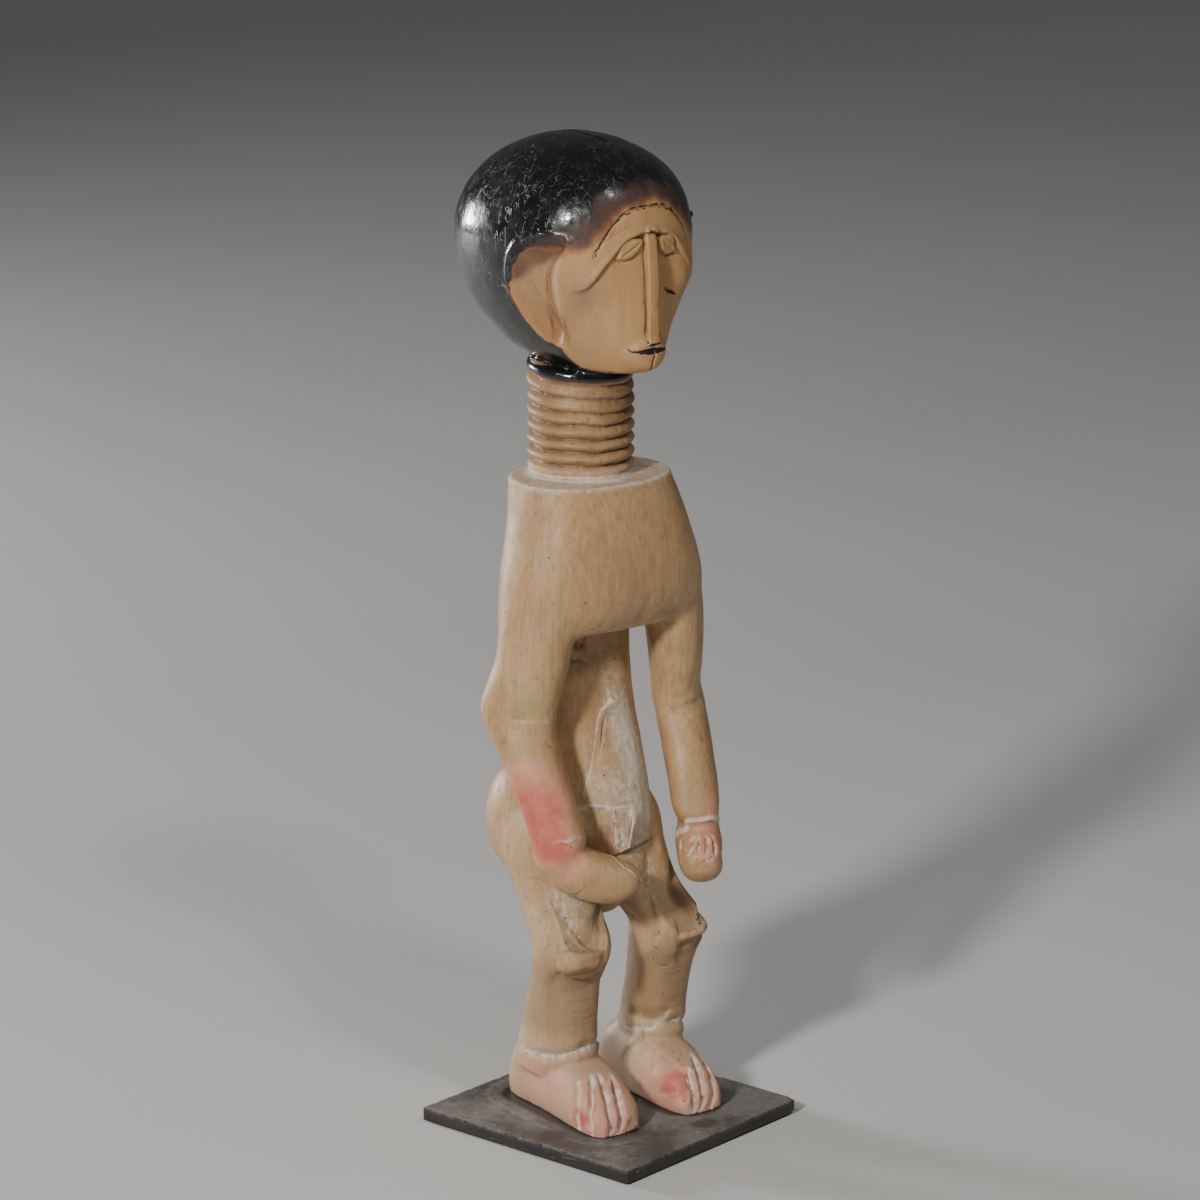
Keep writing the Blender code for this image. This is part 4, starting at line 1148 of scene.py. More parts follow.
def chalk_and_highlight_mask(body, crease, edge):
    """The white powder in the cuts, on the ledge and belly and down the legs, and a painted highlight behind
    the right upper arm.
    """
    x, y, z = body.points.T
    lines = np.zeros(len(body.points))
    for strength, paths, width in CHALK_LINES:
        lines = np.maximum(lines, strength * strokes(body, paths, width))
    below_neck = 1 - smooth_step(z, 330, 345)
    neck_foot = 0.4 * smooth_step(z, 326, 331) * (1 - smooth_step(z, 334, 340))
    ledge = 0.32 * smooth_step(z, 328, 331) * (1 - smooth_step(z, 333, 336))
    # Painted highlight: white along the back edge of the right upper arm.
    arm_edge_highlight = 0.8 * smooth_step(-x, 38, 46) * smooth_step(y, 24, 40) * smooth_step(z, 225, 250)
    legs = 0.10 * (1 - smooth_step(z, 120, 170)) + 0.14 * (1 - smooth_step(z, 34, 50))
    legs += 0.22 * smooth_step(z, 96, 112) * (1 - smooth_step(z, 124, 140))
    # Wear, plus the painted highlight behind the right upper arm.
    worn = (0.5 * crease + 0.25 * edge + arm_edge_highlight) * below_neck
    return np.clip(lines + worn + neck_foot + ledge + legs + spots(body.points, POWDER_SPOTS), 0, 1.2)


def keep_ear_masks(mesh, body):
    """The ear's hollow with painted shadow above a slanted line, its rim, and painted light on its front
    wall. Gives back the valley between them, where shade is painted.
    """
    points, z = body.points, body.points[:, 2]
    near, inside, behind = ear_place(body)
    hollow, rim, valley, front = np.zeros((4, len(points)))
    # Painted shadow: the upper part of the ear's hollow, above a slanted line, is darkened.
    slanted = z[near] - 433 - 0.72 * (20 - points[near, 1]) + 1.6 * wobble(points[near], 4.0, 51)
    hollow[near] = smooth_step(inside, 1.2, 3.2) * smooth_step(behind, -1.0, 1.0)
    hollow[near] *= smooth_step(slanted, -2.0, 1.5)
    keep_mask(mesh, "ear_hollow_shadow", hollow)
    rim[near] = smooth_step(inside, 1.0, 3.0) * (1 - smooth_step(inside, 6.0, 9.0))
    rim *= (1 - smooth_step(z, 428, 436)) * smooth_step(z, 398, 404)
    keep_mask(mesh, "ear_rim", rim)
    # Painted light: the front wall of the ear's hollow is lightened.
    front[near] = smooth_step(behind, -3.0, -0.5) * (1 - smooth_step(behind, 1.5, 4.5)) * (inside > 1.5)
    front *= smooth_step(z, 414, 428) * (1 - smooth_step(z, 444, 451))
    keep_mask(mesh, "ear_front_light", front)
    # The valley's mask darkens it with painted shade.
    valley[near] = smooth_step(inside, 4.0, 8.0) * smooth_step(behind, 1.5, 5.0)
    return valley


def keep_masks(mesh):
    """Keeps on the skin where each colour and kind of wear goes."""
    body = Carving(mesh)
    points, z = body.points, body.points[:, 2]
    hollow = body.hollowness(2)
    crease, edge = np.clip(hollow / 0.16, 0, 1), np.clip(-hollow / 0.20, 0, 1)
    keep_mask(mesh, "hair", hair_cover(body))
    keep_mask(mesh, "ink", ink_distance(body))
    keep_mask(mesh, "crease", crease)
    keep_mask(mesh, "chalk_and_highlight", chalk_and_highlight_mask(body, crease, edge))
    keep_mask(mesh, "pigment", np.clip(spots(points, PIGMENT_SPOTS), 0, 1))
    keep_mask(mesh, "olive", np.clip(spots(points, OLIVE_SPOTS), 0, 1))
    valley = keep_ear_masks(mesh, body)
    # This mask holds handling marks and the painted shade in the ear's valley.
    keep_mask(mesh, "smudge_and_shade", np.clip(spots(points, SMUDGE_SPOTS) + 0.6 * valley, 0, 1))
    scuffed = np.maximum(blot(points, (-48, 30, 465), 62), blot(points, (48, 42, 462), 58))
    keep_mask(mesh, "scuffed", np.maximum(scuffed, 0.35 * smooth_step(z, 400, 430)))


# ---------------------------------------------------------------- shader building
class Finish:
    """A material under construction, with short ways to add and join its nodes."""

    def __init__(self, name):
        self.material = bpy.data.materials.new(name)
        self.material.use_nodes = True
        self.tree = self.material.node_tree
        self.shader = self.tree.nodes["Principled BSDF"]
        self.place = self.node("ShaderNodeTexCoord").outputs["Object"]

    def node(self, kind, **settings):
        made = self.tree.nodes.new(kind)
        for name, value in settings.items():
            setattr(made, name, value)
        return made

    def join(self, source, target):
        if isinstance(source, bpy.types.NodeSocket):
            self.tree.links.new(source, target)
        elif hasattr(target.default_value, "__len__") and not hasattr(source, "__len__"):
            target.default_value = (source, source, source, 1.0)[: len(target.default_value)]
        elif hasattr(source, "__len__") and len(source) == 3 and len(target.default_value) == 4:
            target.default_value = (*source, 1.0)
        else:
            target.default_value = source

    def sums(self, operation, first, second=0.5, clamp=False):
        made = self.node("ShaderNodeMath", operation=operation, use_clamp=clamp)
        self.join(first, made.inputs[0])
        self.join(second, made.inputs[1])
        return made.outputs[0]

    def mask(self, name):
        return self.node("ShaderNodeAttribute", attribute_name=name).outputs["Fac"]

    def stretched(self, scale, turn=(0, 0, 0)):
        made = self.node("ShaderNodeMapping")
        self.join(self.place, made.inputs["Vector"])
        made.inputs["Scale"].default_value = scale
        made.inputs["Rotation"].default_value = turn
        return made.outputs[0]

    def grain(self, scale, detail=4.0, rough=0.55, where=None, twist=0.0):
        """Noise with this many features to the metre."""
        made = self.node("ShaderNodeTexNoise")
        self.join(self.place if where is None else where, made.inputs["Vector"])
        made.inputs["Scale"].default_value = scale
        made.inputs["Detail"].default_value = detail
        made.inputs["Roughness"].default_value = rough
        made.inputs["Distortion"].default_value = twist
        return made.outputs["Fac"]

    def cells(self, scale, where=None):
        made = self.node("ShaderNodeTexVoronoi")
        self.join(self.place if where is None else where, made.inputs["Vector"])
        made.inputs["Scale"].default_value = scale
        return made.outputs["Distance"], made.outputs["Color"]

    def span(self, value, low, high, to_low=0.0, to_high=1.0):
        """The value carried smoothly from one span to another."""
        made = self.node("ShaderNodeMapRange", interpolation_type="SMOOTHSTEP")
        self.join(value, made.inputs["Value"])
        for name, number in (("From Min", low), ("From Max", high), ("To Min", to_low), ("To Max", to_high)):
            made.inputs[name].default_value = number
        return made.outputs[0]

    def mix(self, share, first, second, how="MIX"):
        made = self.node("ShaderNodeMix", data_type="RGBA", blend_type=how, clamp_factor=True)
        self.join(share, made.inputs[0])
        self.join(first, made.inputs[6])
        self.join(second, made.inputs[7])
        return made.outputs[2]

    def bump(self, height, strength, depth, below=None):
        made = self.node("ShaderNodeBump")
        made.inputs["Strength"].default_value = strength
        made.inputs["Distance"].default_value = depth
        self.join(height, made.inputs["Height"])
        if below is not None:
            self.join(below, made.inputs["Normal"])
        return made.outputs[0]

    def finish(self, **sockets):
        for name, value in sockets.items():
            self.join(value, self.shader.inputs[name.replace("_", " ").title().replace("Ior", "IOR")])
        return self.material


def wood_finish(colours):
    """Pale close-grained wood with lacquered hair, blackened lines, pigment and chalky wear."""
    f = Finish("carved_wood")
    along_grain = f.stretched((1.0, 1.0, 0.045))
    streaks = f.grain(620, 6, 0.65, along_grain, 0.6)
    fibres = f.grain(2600, 3, 0.6, f.stretched((1.0, 1.0, 0.03)))
    clouds = f.grain(16, 5, 0.55)
    blotches = f.grain(60, 5, 0.6, f.stretched((1.0, 1.0, 0.45)))
    speckle = f.grain(1500, 3, 0.7)
    height = f.node("ShaderNodeSeparateXYZ")
    f.join(f.place, height.inputs[0])
    height = height.outputs["Z"]

    wood = f.mix(f.span(clouds, 0.36, 0.64), colours.pale_wood, colours.warm_wood)
    stain = f.grain(24, 5, 0.62, f.stretched((1.0, 1.0, 0.5), (0.3, 0.2, 0.0)), 0.4)
    wood = f.mix(f.span(stain, 0.48, 0.72, 0.0, 0.50), wood, colours.amber_wood)
    wood = f.mix(f.span(blotches, 0.42, 0.78, 0.0, 0.52), wood, colours.brown_wood)
    wood = f.mix(f.span(streaks, 0.40, 0.72, 0.0, 0.62), wood, colours.brown_wood)
    wood = f.mix(f.span(fibres, 0.30, 0.75, 0.0, 0.28), wood, colours.pale_wood)
    dirt = f.grain(210, 7, 0.74)
    wood = f.mix(f.span(dirt, 0.54, 0.72, 0.0, 0.5), wood, colours.deep_brown)
    face = f.span(height, 0.376, 0.392)
    wood = f.mix(f.sums("MULTIPLY", face, 0.6), wood, colours.amber_wood)
    # Painted shade: the neck under the head is darkened with brown wood.
    neck_shade = f.sums("MULTIPLY", f.span(height, 0.330, 0.345), f.span(height, 0.392, 0.378))
    wood = f.mix(f.sums("MULTIPLY", neck_shade, 0.45), wood, colours.brown_wood)
    legs = f.span(height, 0.150, 0.090)
    wood = f.mix(f.sums("MULTIPLY", legs, 0.35), wood, colours.grey_wood)
    feet = f.span(height, 0.058, 0.036)
    wood = f.mix(f.sums("MULTIPLY", feet, 0.30), wood, colours.pale_foot)
    # Painted shade: the shins are darkened with brown wood.
    shins = f.sums("MULTIPLY", f.span(height, 0.046, 0.058), f.span(height, 0.098, 0.084))
    wood = f.mix(f.sums("MULTIPLY", shins, 0.42), wood, colours.brown_wood)
    wood = f.mix(f.sums("MULTIPLY", f.mask("olive"), 0.5), wood, colours.olive)
    # Handling marks, and painted shade in the ear's valley.
    smudges_and_shade = f.sums("MULTIPLY", f.mask("smudge_and_shade"), f.span(blotches, 0.3, 0.7, 0.2, 0.75))
    wood = f.mix(smudges_and_shade, wood, colours.smudge_and_shade)

    # Darker brown in the creases, by how hollow the skin is.
    creases = f.sums("MULTIPLY", f.mask("crease"), f.span(blotches, 0.25, 0.6, 0.25, 0.8))
    wood = f.mix(creases, wood, colours.deep_brown)

    pigment_noise = f.span(f.grain(90, 6, 0.65), 0.25, 0.70, 0.55, 1.0)
    red = f.sums("MULTIPLY", f.mask("pigment"), pigment_noise, clamp=True)
    pink = f.mix(f.span(red, 0.0, 0.35, 0.0, 0.72), wood, colours.pink)
    wood = f.mix(f.span(red, 0.30, 0.85, 0.0, 0.9), pink, colours.red)

    crust = f.grain(300, 8, 0.78)
    chalk_and_highlight = f.sums("ADD", f.mask("chalk_and_highlight"), f.span(crust, 0.25, 0.75, -0.42, 0.20))
    chalk_and_highlight = f.sums("ADD", chalk_and_highlight, f.span(streaks, 0.3, 0.7, -0.16, 0.16))
    chalk_and_highlight = f.span(chalk_and_highlight, 0.18, 1.0, 0.0, 0.72)
    wood = f.mix(chalk_and_highlight, wood, colours.chalk_and_highlight)
    # Painted light on the front wall of the ear's hollow.
    wood = f.mix(f.sums("MULTIPLY", f.mask("ear_front_light"), 0.6), wood, colours.ear_painted_light)

    pit_distance, pit_pick = f.cells(150)
    picked = f.node("ShaderNodeSeparateColor")
    f.join(pit_pick, picked.inputs[0])
    pits = f.sums("MULTIPLY", f.span(pit_distance, 0.10, 0.05), f.span(picked.outputs[0], 0.86, 0.90))
    wood = f.mix(f.sums("MULTIPLY", pits, 0.85), wood, colours.deep_brown)

    cover = f.sums("ADD", f.mask("hair"), f.span(f.grain(70, 6, 0.6), 0.2, 0.8, -0.30, 0.30))
    fade = f.span(cover, -1.00, -0.55)
    black = f.span(cover, -0.30, 0.50)
    scuffs = hair_scuffs(f)
    hair = f.mix(f.span(f.grain(34, 5, 0.6), 0.45, 0.75, 0.0, 0.5), colours.lacquer, colours.worn_lacquer)
    hair = f.mix(f.sums("MULTIPLY", scuffs, 0.8), hair, colours.scuff)
    # Painted shadow in the upper ear hollow, in red brown.
    hollow = f.sums("MULTIPLY", f.mask("ear_hollow_shadow"), f.span(blotches, 0.2, 0.6, 0.55, 0.95))
    surface = f.mix(hollow, wood, colours.red_brown)
    surface = f.mix(f.sums("MULTIPLY", f.mask("ear_rim"), 0.5), surface, colours.orange_wood)
    surface = f.mix(f.sums("MULTIPLY", f.span(cover, -1.15, -0.80), 0.55), surface, colours.orange_wood)
    surface = f.mix(f.sums("MULTIPLY", fade, 0.80), surface, colours.red_brown)
    surface = f.mix(f.sums("MULTIPLY", f.span(cover, -0.72, -0.28), 0.85), surface, colours.plum)
    surface = f.mix(black, surface, hair)

    ragged = f.span(f.grain(900, 4, 0.7), 0.2, 0.8, -0.28, 0.28)
    ink = f.span(f.sums("ADD", f.mask("ink"), ragged), 0.20, -0.12)
    surface = f.mix(f.sums("MULTIPLY", ink, 0.96), surface, colours.ink)

    rough = f.span(blotches, 0.3, 0.7, 0.42, 0.58)
    rough = f.mix(chalk_and_highlight, rough, 0.88)
    rough = f.mix(face, rough, f.span(blotches, 0.3, 0.7, 0.36, 0.48))
    rough = f.mix(fade, rough, 0.30)
    gloss = f.span(f.grain(90, 6, 0.65), 0.35, 0.7, 0.17, 0.36)
    gloss = f.mix(scuffs, gloss, 0.55)
    rough = f.mix(black, rough, gloss)
    rough = f.mix(ink, rough, 0.55)

    bare = f.sums("SUBTRACT", 1.0, black)
    relief = f.sums("MULTIPLY", f.sums("ADD", f.sums("MULTIPLY", fibres, 0.5), streaks), bare)
    normal = f.bump(relief, 0.35, 0.00022)
    normal = f.bump(f.sums("MULTIPLY", crust, chalk_and_highlight), 0.75, 0.0006, normal)
    normal = f.bump(f.sums("SUBTRACT", 1.0, pits), 0.8, 0.0006, normal)
    normal = f.bump(f.sums("MULTIPLY", f.sums("SUBTRACT", 1.0, scuffs), black), 0.35, 0.00012, normal)
    dents = f.sums("ADD", f.grain(48, 4, 0.5), f.grain(260, 3, 0.5))
    normal = f.bump(f.sums("MULTIPLY", dents, black), 0.35, 0.0007, normal)
    normal = f.bump(speckle, 0.12, 0.0001, normal)
    return f.finish(base_color=surface, roughness=rough, normal=normal,
                    coat_weight=f.sums("MULTIPLY", black, 0.3), specular_ior_level=0.42)


def hair_scuffs(f):
    """Short curved scratches that lie in many directions, thick in some places and thin in others."""
    marks = None
    for turn, scale, width in (
        ((0.4, 0.2, 0.0), 150, 0.011), ((-0.7, 0.5, 0.9), 190, 0.012), ((1.1, -0.4, 2.0), 230, 0.012),
        ((0.2, 1.2, 0.5), 170, 0.011), ((1.5, 0.3, 1.2), 260, 0.013), ((-0.2, -0.9, 2.6), 210, 0.012),
    ):
        place = f.stretched((1.0, 1.0, 0.28), turn)
        wave = f.grain(scale, 1.0, 0.5, place, 0.5)
        line = f.span(f.sums("ABSOLUTE", f.sums("SUBTRACT", wave, 0.5)), width, 0.3 * width)
        broken = f.span(f.grain(0.8 * scale, 2, 0.6, place), 0.53, 0.60)
        stroke = f.sums("MULTIPLY", line, broken)
        marks = stroke if marks is None else f.sums("MAXIMUM", marks, stroke)
    patches = f.span(f.grain(42, 4, 0.6), 0.34, 0.60, 0.12, 1.0)
    return f.sums("MULTIPLY", marks, f.sums("MULTIPLY", patches, f.mask("scuffed")))


def board_finish(colours):
    """Black-stained board under dust, with bare scuffed edges and fine scratches."""
    f = Finish("stained_board")
    clouds = f.grain(26, 6, 0.62)
    fine = f.grain(420, 6, 0.7)
    streaks = f.grain(90, 5, 0.6, f.stretched((1.0, 0.16, 1.0), (0, 0, 0.5)))
    normal_z = f.node("ShaderNodeSeparateXYZ")
    f.join(f.node("ShaderNodeNewGeometry").outputs["Normal"], normal_z.inputs[0])
    top = f.span(normal_z.outputs["Z"], 0.6, 0.95)
    stain = f.mix(f.span(streaks, 0.4, 0.7, 0.0, 0.6), colours.stain, colours.brown_stain)
    dust = f.sums("MULTIPLY", f.span(clouds, 0.32, 0.62, 0.25, 1.0), top)
    dust = f.sums("ADD", dust, f.sums("MULTIPLY", f.mask("dust_line"), 0.35))
    # Less dust next to the feet: a cleaner board there, and painted shadow.
    dust = f.sums("MULTIPLY", dust, f.span(f.mask("near_feet"), 0.0, 1.0, 1.0, 0.15))
    dust = f.sums("MULTIPLY", dust, f.span(fine, 0.2, 0.7, 0.55, 1.0))
    dust = f.sums("MULTIPLY", dust, f.span(f.mask("damp"), 0.0, 1.0, 1.0, 0.3))
    surface = f.mix(dust, stain, colours.dust)
    scratches = None
    for turn in (0.3, 1.2, 2.3):
        lines = f.span(f.grain(500, 2, 0.5, f.stretched((1.0, 0.03, 1.0), (0, 0, turn)), 0.1), 0.70, 0.76)
        scratches = lines if scratches is None else f.sums("MAXIMUM", scratches, lines)
    surface = f.mix(f.sums("MULTIPLY", scratches, 0.35), surface, colours.bare_edge)
    worn = f.sums("MULTIPLY", f.mask("worn"), f.span(f.grain(300, 5, 0.7), 0.35, 0.62))
    surface = f.mix(f.sums("MULTIPLY", worn, 0.75), surface, colours.bare_edge)
    fleck_distance, fleck_pick = f.cells(210)
    picked = f.node("ShaderNodeSeparateColor")
    f.join(fleck_pick, picked.inputs[0])
    flecks = f.sums("MULTIPLY", f.span(fleck_distance, 0.13, 0.07), f.span(picked.outputs[0], 0.975, 0.985))
    surface = f.mix(flecks, surface, colours.fleck)
    rough = f.span(dust, 0.0, 1.0, 0.42, 0.85)
    rough = f.mix(scratches, rough, 0.7)
    normal = f.bump(streaks, 0.25, 0.0003)
    normal = f.bump(fine, 0.3, 0.0002, normal)
    normal = f.bump(f.sums("SUBTRACT", 1.0, scratches), 0.3, 0.0002, normal)
    normal = f.bump(flecks, 0.6, 0.0004, normal)
    return f.finish(base_color=surface, roughness=rough, normal=normal)


def felt_finish():
    f = Finish("felt_sheet")
    fibres = f.grain(3200, 5, 0.75, None, 1.5)
    lint = f.span(f.grain(600, 4, 0.7), 0.55, 0.75)
    surface = f.mix(f.span(fibres, 0.3, 0.7), (0.010, 0.010, 0.011), (0.035, 0.034, 0.036))
    surface = f.mix(f.sums("MULTIPLY", lint, 0.3), surface, (0.12, 0.115, 0.11))
    return f.finish(base_color=surface, roughness=f.span(fibres, 0.2, 0.8, 0.9, 1.0),
                    normal=f.bump(fibres, 0.8, 0.0004))


def screw_finish():
    f = Finish("zinc_screw")
    spangle = f.grain(900, 5, 0.6)
    rings = f.grain(1400, 3, 0.5, f.stretched((0.2, 0.2, 1.0)))
    surface = f.mix(f.span(spangle, 0.3, 0.7), (0.50, 0.50, 0.48), (0.68, 0.67, 0.64))
    surface = f.mix(f.span(f.grain(240, 5, 0.7), 0.55, 0.75, 0.0, 0.5), surface, (0.30, 0.27, 0.22))
    return f.finish(base_color=surface, metallic=1.0, roughness=f.span(rings, 0.3, 0.7, 0.26, 0.45),
                    normal=f.bump(rings, 0.3, 0.0001))


def floor_finish(colour):
    f = Finish("pale_floor")
    cloud = f.grain(1.4, 4, 0.5)
    darker = [0.94 * c for c in colour]
    surface = f.mix(f.span(cloud, 0.35, 0.65), colour, darker)
    return f.finish(base_color=surface, roughness=f.span(cloud, 0.3, 0.7, 0.62, 0.72),
                    normal=f.bump(f.grain(180, 4, 0.6), 0.05, 0.0005))


# ---------------------------------------------------------------- settings that a user would change
def colour_setting(name, description, default):
    return FloatVectorProperty(
        name=name, description=description, default=default, subtype="COLOR", size=3, min=0.0, max=1.0
    )


class WoodColours(bpy.types.PropertyGroup):
    pale_wood: colour_setting("Pale wood", "The lightest bare wood", (0.50, 0.325, 0.165))
    warm_wood: colour_setting("Warm wood", "Bare wood between the pale patches", (0.41, 0.245, 0.112))
    brown_wood: colour_setting("Brown wood", "Darker streaks along the grain", (0.225, 0.128, 0.062))
    amber_wood: colour_setting("Amber wood", "The handled wood of the face", (0.41, 0.215, 0.085))
    grey_wood: colour_setting("Grey wood", "The dry wood of the legs", (0.38, 0.275, 0.170))
    # Darker brown in creases and pits, and in the dirt specks.
    deep_brown: colour_setting("Deep brown", "Dirt in creases and pits", (0.12, 0.065, 0.035))
    olive: colour_setting("Olive tint", "The greenish patch above the elbow", (0.36, 0.32, 0.14))
    # Also painted shade in the ear's valley.
    smudge_and_shade: colour_setting("Smudge", "Handling marks", (0.22, 0.15, 0.115))
    # Also the painted highlight along the back edge of the right upper arm.
    chalk_and_highlight: colour_setting("Chalk", "Worn white powder on edges and in creases", (0.74, 0.66, 0.56))
    pink: colour_setting("Pink", "Thin red pigment", (0.62, 0.27, 0.19))
    red: colour_setting("Red", "Thick red pigment", (0.50, 0.105, 0.07))
    lacquer: colour_setting("Lacquer", "The glossy black of the hair", (0.006, 0.006, 0.007))
    worn_lacquer: colour_setting("Worn lacquer", "Dulled patches of the black", (0.016, 0.016, 0.018))
    scuff: colour_setting("Scuff", "Scratches in the lacquer", (0.24, 0.24, 0.225))
    orange_wood: colour_setting("Orange wood", "Where the last lacquer tints the wood", (0.36, 0.165, 0.070))
    # Also the painted shadow in the ear's hollow.
    red_brown: colour_setting("Red brown", "Where the lacquer thins out", (0.130, 0.058, 0.036))
    plum: colour_setting("Plum", "Thin lacquer over wood", (0.046, 0.031, 0.030))
    pale_foot: colour_setting("Pale foot", "The worn, whitened wood of the feet", (0.58, 0.38, 0.28))
    # Painted light: the lit front wall of the ear's hollow.
    ear_painted_light: colour_setting("Ear light", "The rubbed edge between ear and cheek", (0.58, 0.40, 0.26))
    ink: colour_setting("Ink", "Blackened cuts", (0.008, 0.008, 0.009))


class FigureSettings(bpy.types.PropertyGroup):
    detail: FloatProperty(
        name="Detail", description="Size of the cells that the skin is cut from", default=0.00085,
        min=0.0005, max=0.003, precision=5, unit="LENGTH",
    )
    triangles: IntProperty(
        name="Triangles", description="Most triangles in the finished skin", default=196000,
        min=20000, max=1000000,
    )
    bore_gap: FloatProperty(
        name="Bore gap", description="Clearance round each screw in its foot", default=0.0003,
        min=0.0, max=0.002, precision=4, unit="LENGTH",
    )


class BoardSettings(bpy.types.PropertyGroup):
    grid: FloatProperty(
        name="Grid", description="Size of the board's cells", default=0.0016,
        min=0.0008, max=0.01, precision=4, unit="LENGTH",
    )
    edge: FloatProperty(
        name="Edge", description="How far the worn edges are rounded", default=0.0007, min=0.0, max=0.003,
        precision=4, unit="LENGTH",
    )
    chip: FloatProperty(
        name="Chips", description="Depth of the chips along the edges", default=0.0011, min=0.0, max=0.003,
        precision=4, unit="LENGTH",
    )
    stain: colour_setting("Stain", "The black stain", (0.016, 0.014, 0.013))
    brown_stain: colour_setting("Brown stain", "Thin stain along the grain", (0.040, 0.031, 0.026))
    dust: colour_setting("Dust", "Grey dust on the top", (0.215, 0.200, 0.184))
    bare_edge: colour_setting("Bare edge", "Wood showing at scuffed edges", (0.20, 0.165, 0.135))
    fleck: colour_setting("Flecks", "White specks lying on the board", (0.75, 0.74, 0.70))


class StageSettings(bpy.types.PropertyGroup):
    floor_reach: FloatProperty(
        name="Floor", description="Radius of the floor", default=14.0, min=2.0, max=40.0, unit="LENGTH"
    )
    floor_colour: colour_setting("Floor colour", "The pale floor", (0.62, 0.615, 0.60))
    light: FloatProperty(
        name="Light", description="Strength of all the lamps together", default=1.0,
        min=0.1, max=5.0, subtype="FACTOR",
    )
    lens: FloatProperty(
        name="Lens", description="Focal length of the camera in millimetres", default=145.0,
        min=50.0, max=300.0,
    )


# ---------------------------------------------------------------- the pieces
def add_object(name, mesh):
    made = bpy.data.objects.new(name, mesh)
    bpy.context.scene.collection.objects.link(made)
    return made


SCREWS = ("left_foot_screw", "right_foot_screw")
SHANK_SHARE = 4.0 / 7.6  # a screw's shank, as a share of its head's width
HOLE_SIDES = 32


def bore_cutter(screw, gap):
    """A plug with the screw's place and girth, from under the board to just above the screw's point."""
    low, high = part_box(screw)
    shank = (high.x - low.x) / 2 * SHANK_SHARE + gap
    bottom, top = low.z - 0.005, high.z + 0.001
    matrix = Matrix.Translation(((low.x + high.x) / 2, (low.y + high.y) / 2, (bottom + top) / 2))
    bm = bmesh.new()
    bmesh.ops.create_cone(
        bm, cap_ends=True, segments=HOLE_SIDES, radius1=shank, radius2=shank,
        depth=top - bottom, matrix=matrix,
    )
    mesh = bpy.data.meshes.new("bore")
    bm.to_mesh(mesh)
    bm.free()
    return add_object("bore_cutter", mesh)


def subtract(mesh, cutters):
    """The mesh with the cutters taken out of it. The cutters are removed."""
    how = {"operation": "DIFFERENCE", "solver": "EXACT"}
    made = with_modifiers(mesh, *(("BOOLEAN", {"object": cutter, **how}) for cutter in cutters))
    for cutter in cutters:
        bpy.data.objects.remove(cutter, do_unlink=True)
    return made


class CARVING_OT_figure(bpy.types.Operator):
    """Carves the figure and colours it"""

    bl_idname = "carving.figure"
    bl_label = "Carve the figure"

    def execute(self, context):
        settings = context.scene.carving_figure
        cell = settings.detail * 1000 * 1.0
        skin = carved_skin(cell, settings.triangles)
        keep_masks(skin)
        skin.transform(Matrix.Translation(FIGURE_ORIGIN) @ Matrix.Scale(MM, 4))
        skin = subtract(skin, [bore_cutter(screw, settings.bore_gap) for screw in SCREWS])
        skin.name = "carved_doll"
        figure = add_object("carved_doll", skin)
        skin.materials.clear()
        skin.materials.append(wood_finish(context.scene.carving_colours))
        skin.shade_smooth()
        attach(figure, "root")
        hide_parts("carved_figure")
        return {"FINISHED"}


def level_turn(turn):
    """The matrix that turns rows of (x, y) back by this angle."""
    return np.array(((math.cos(turn), -math.sin(turn)), (math.sin(turn), math.cos(turn))))


def board_frame():
    """The board's turn about Z and its half sizes, read from the CAD plate's corners."""
    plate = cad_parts["base_plate"]
    points = np.array([tuple(v.co) for v in plate.data.vertices])
    rim = points[np.argmax(points[:, 0])], points[np.argmax(points[:, 1])]
    corner_x, corner_y = rim[0][:2], rim[1][:2]
    side = corner_y - corner_x
    turn = math.atan2(-side[0], side[1])
    flat = points[:, :2] @ level_turn(turn)
    return turn, flat.max(0), points[:, 2].min(), points[:, 2].max()


class CARVING_OT_board(bpy.types.Operator):
    """Makes the worn board that the figure stands on"""

    bl_idname = "carving.board"
    bl_label = "Make the board"

    def execute(self, context):
        settings = context.scene.carving_board
        turn, half, low, high = board_frame()
        mesh = worn_board(settings, half, low, high)
        mesh.transform(Matrix.Rotation(turn, 4, "Z"))
        mesh = subtract(mesh, [countersink_cutter(screw, low, high) for screw in SCREWS])
        keep_board_masks(mesh, turn, half, high)
        board = add_object("display_board", mesh)
        mesh.materials.clear()
        mesh.materials.append(board_finish(settings))
        mesh.shade_smooth()
        mesh.set_sharp_from_angle(angle=math.radians(50))
        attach(board, "root")
        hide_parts("base_plate")
        return {"FINISHED"}


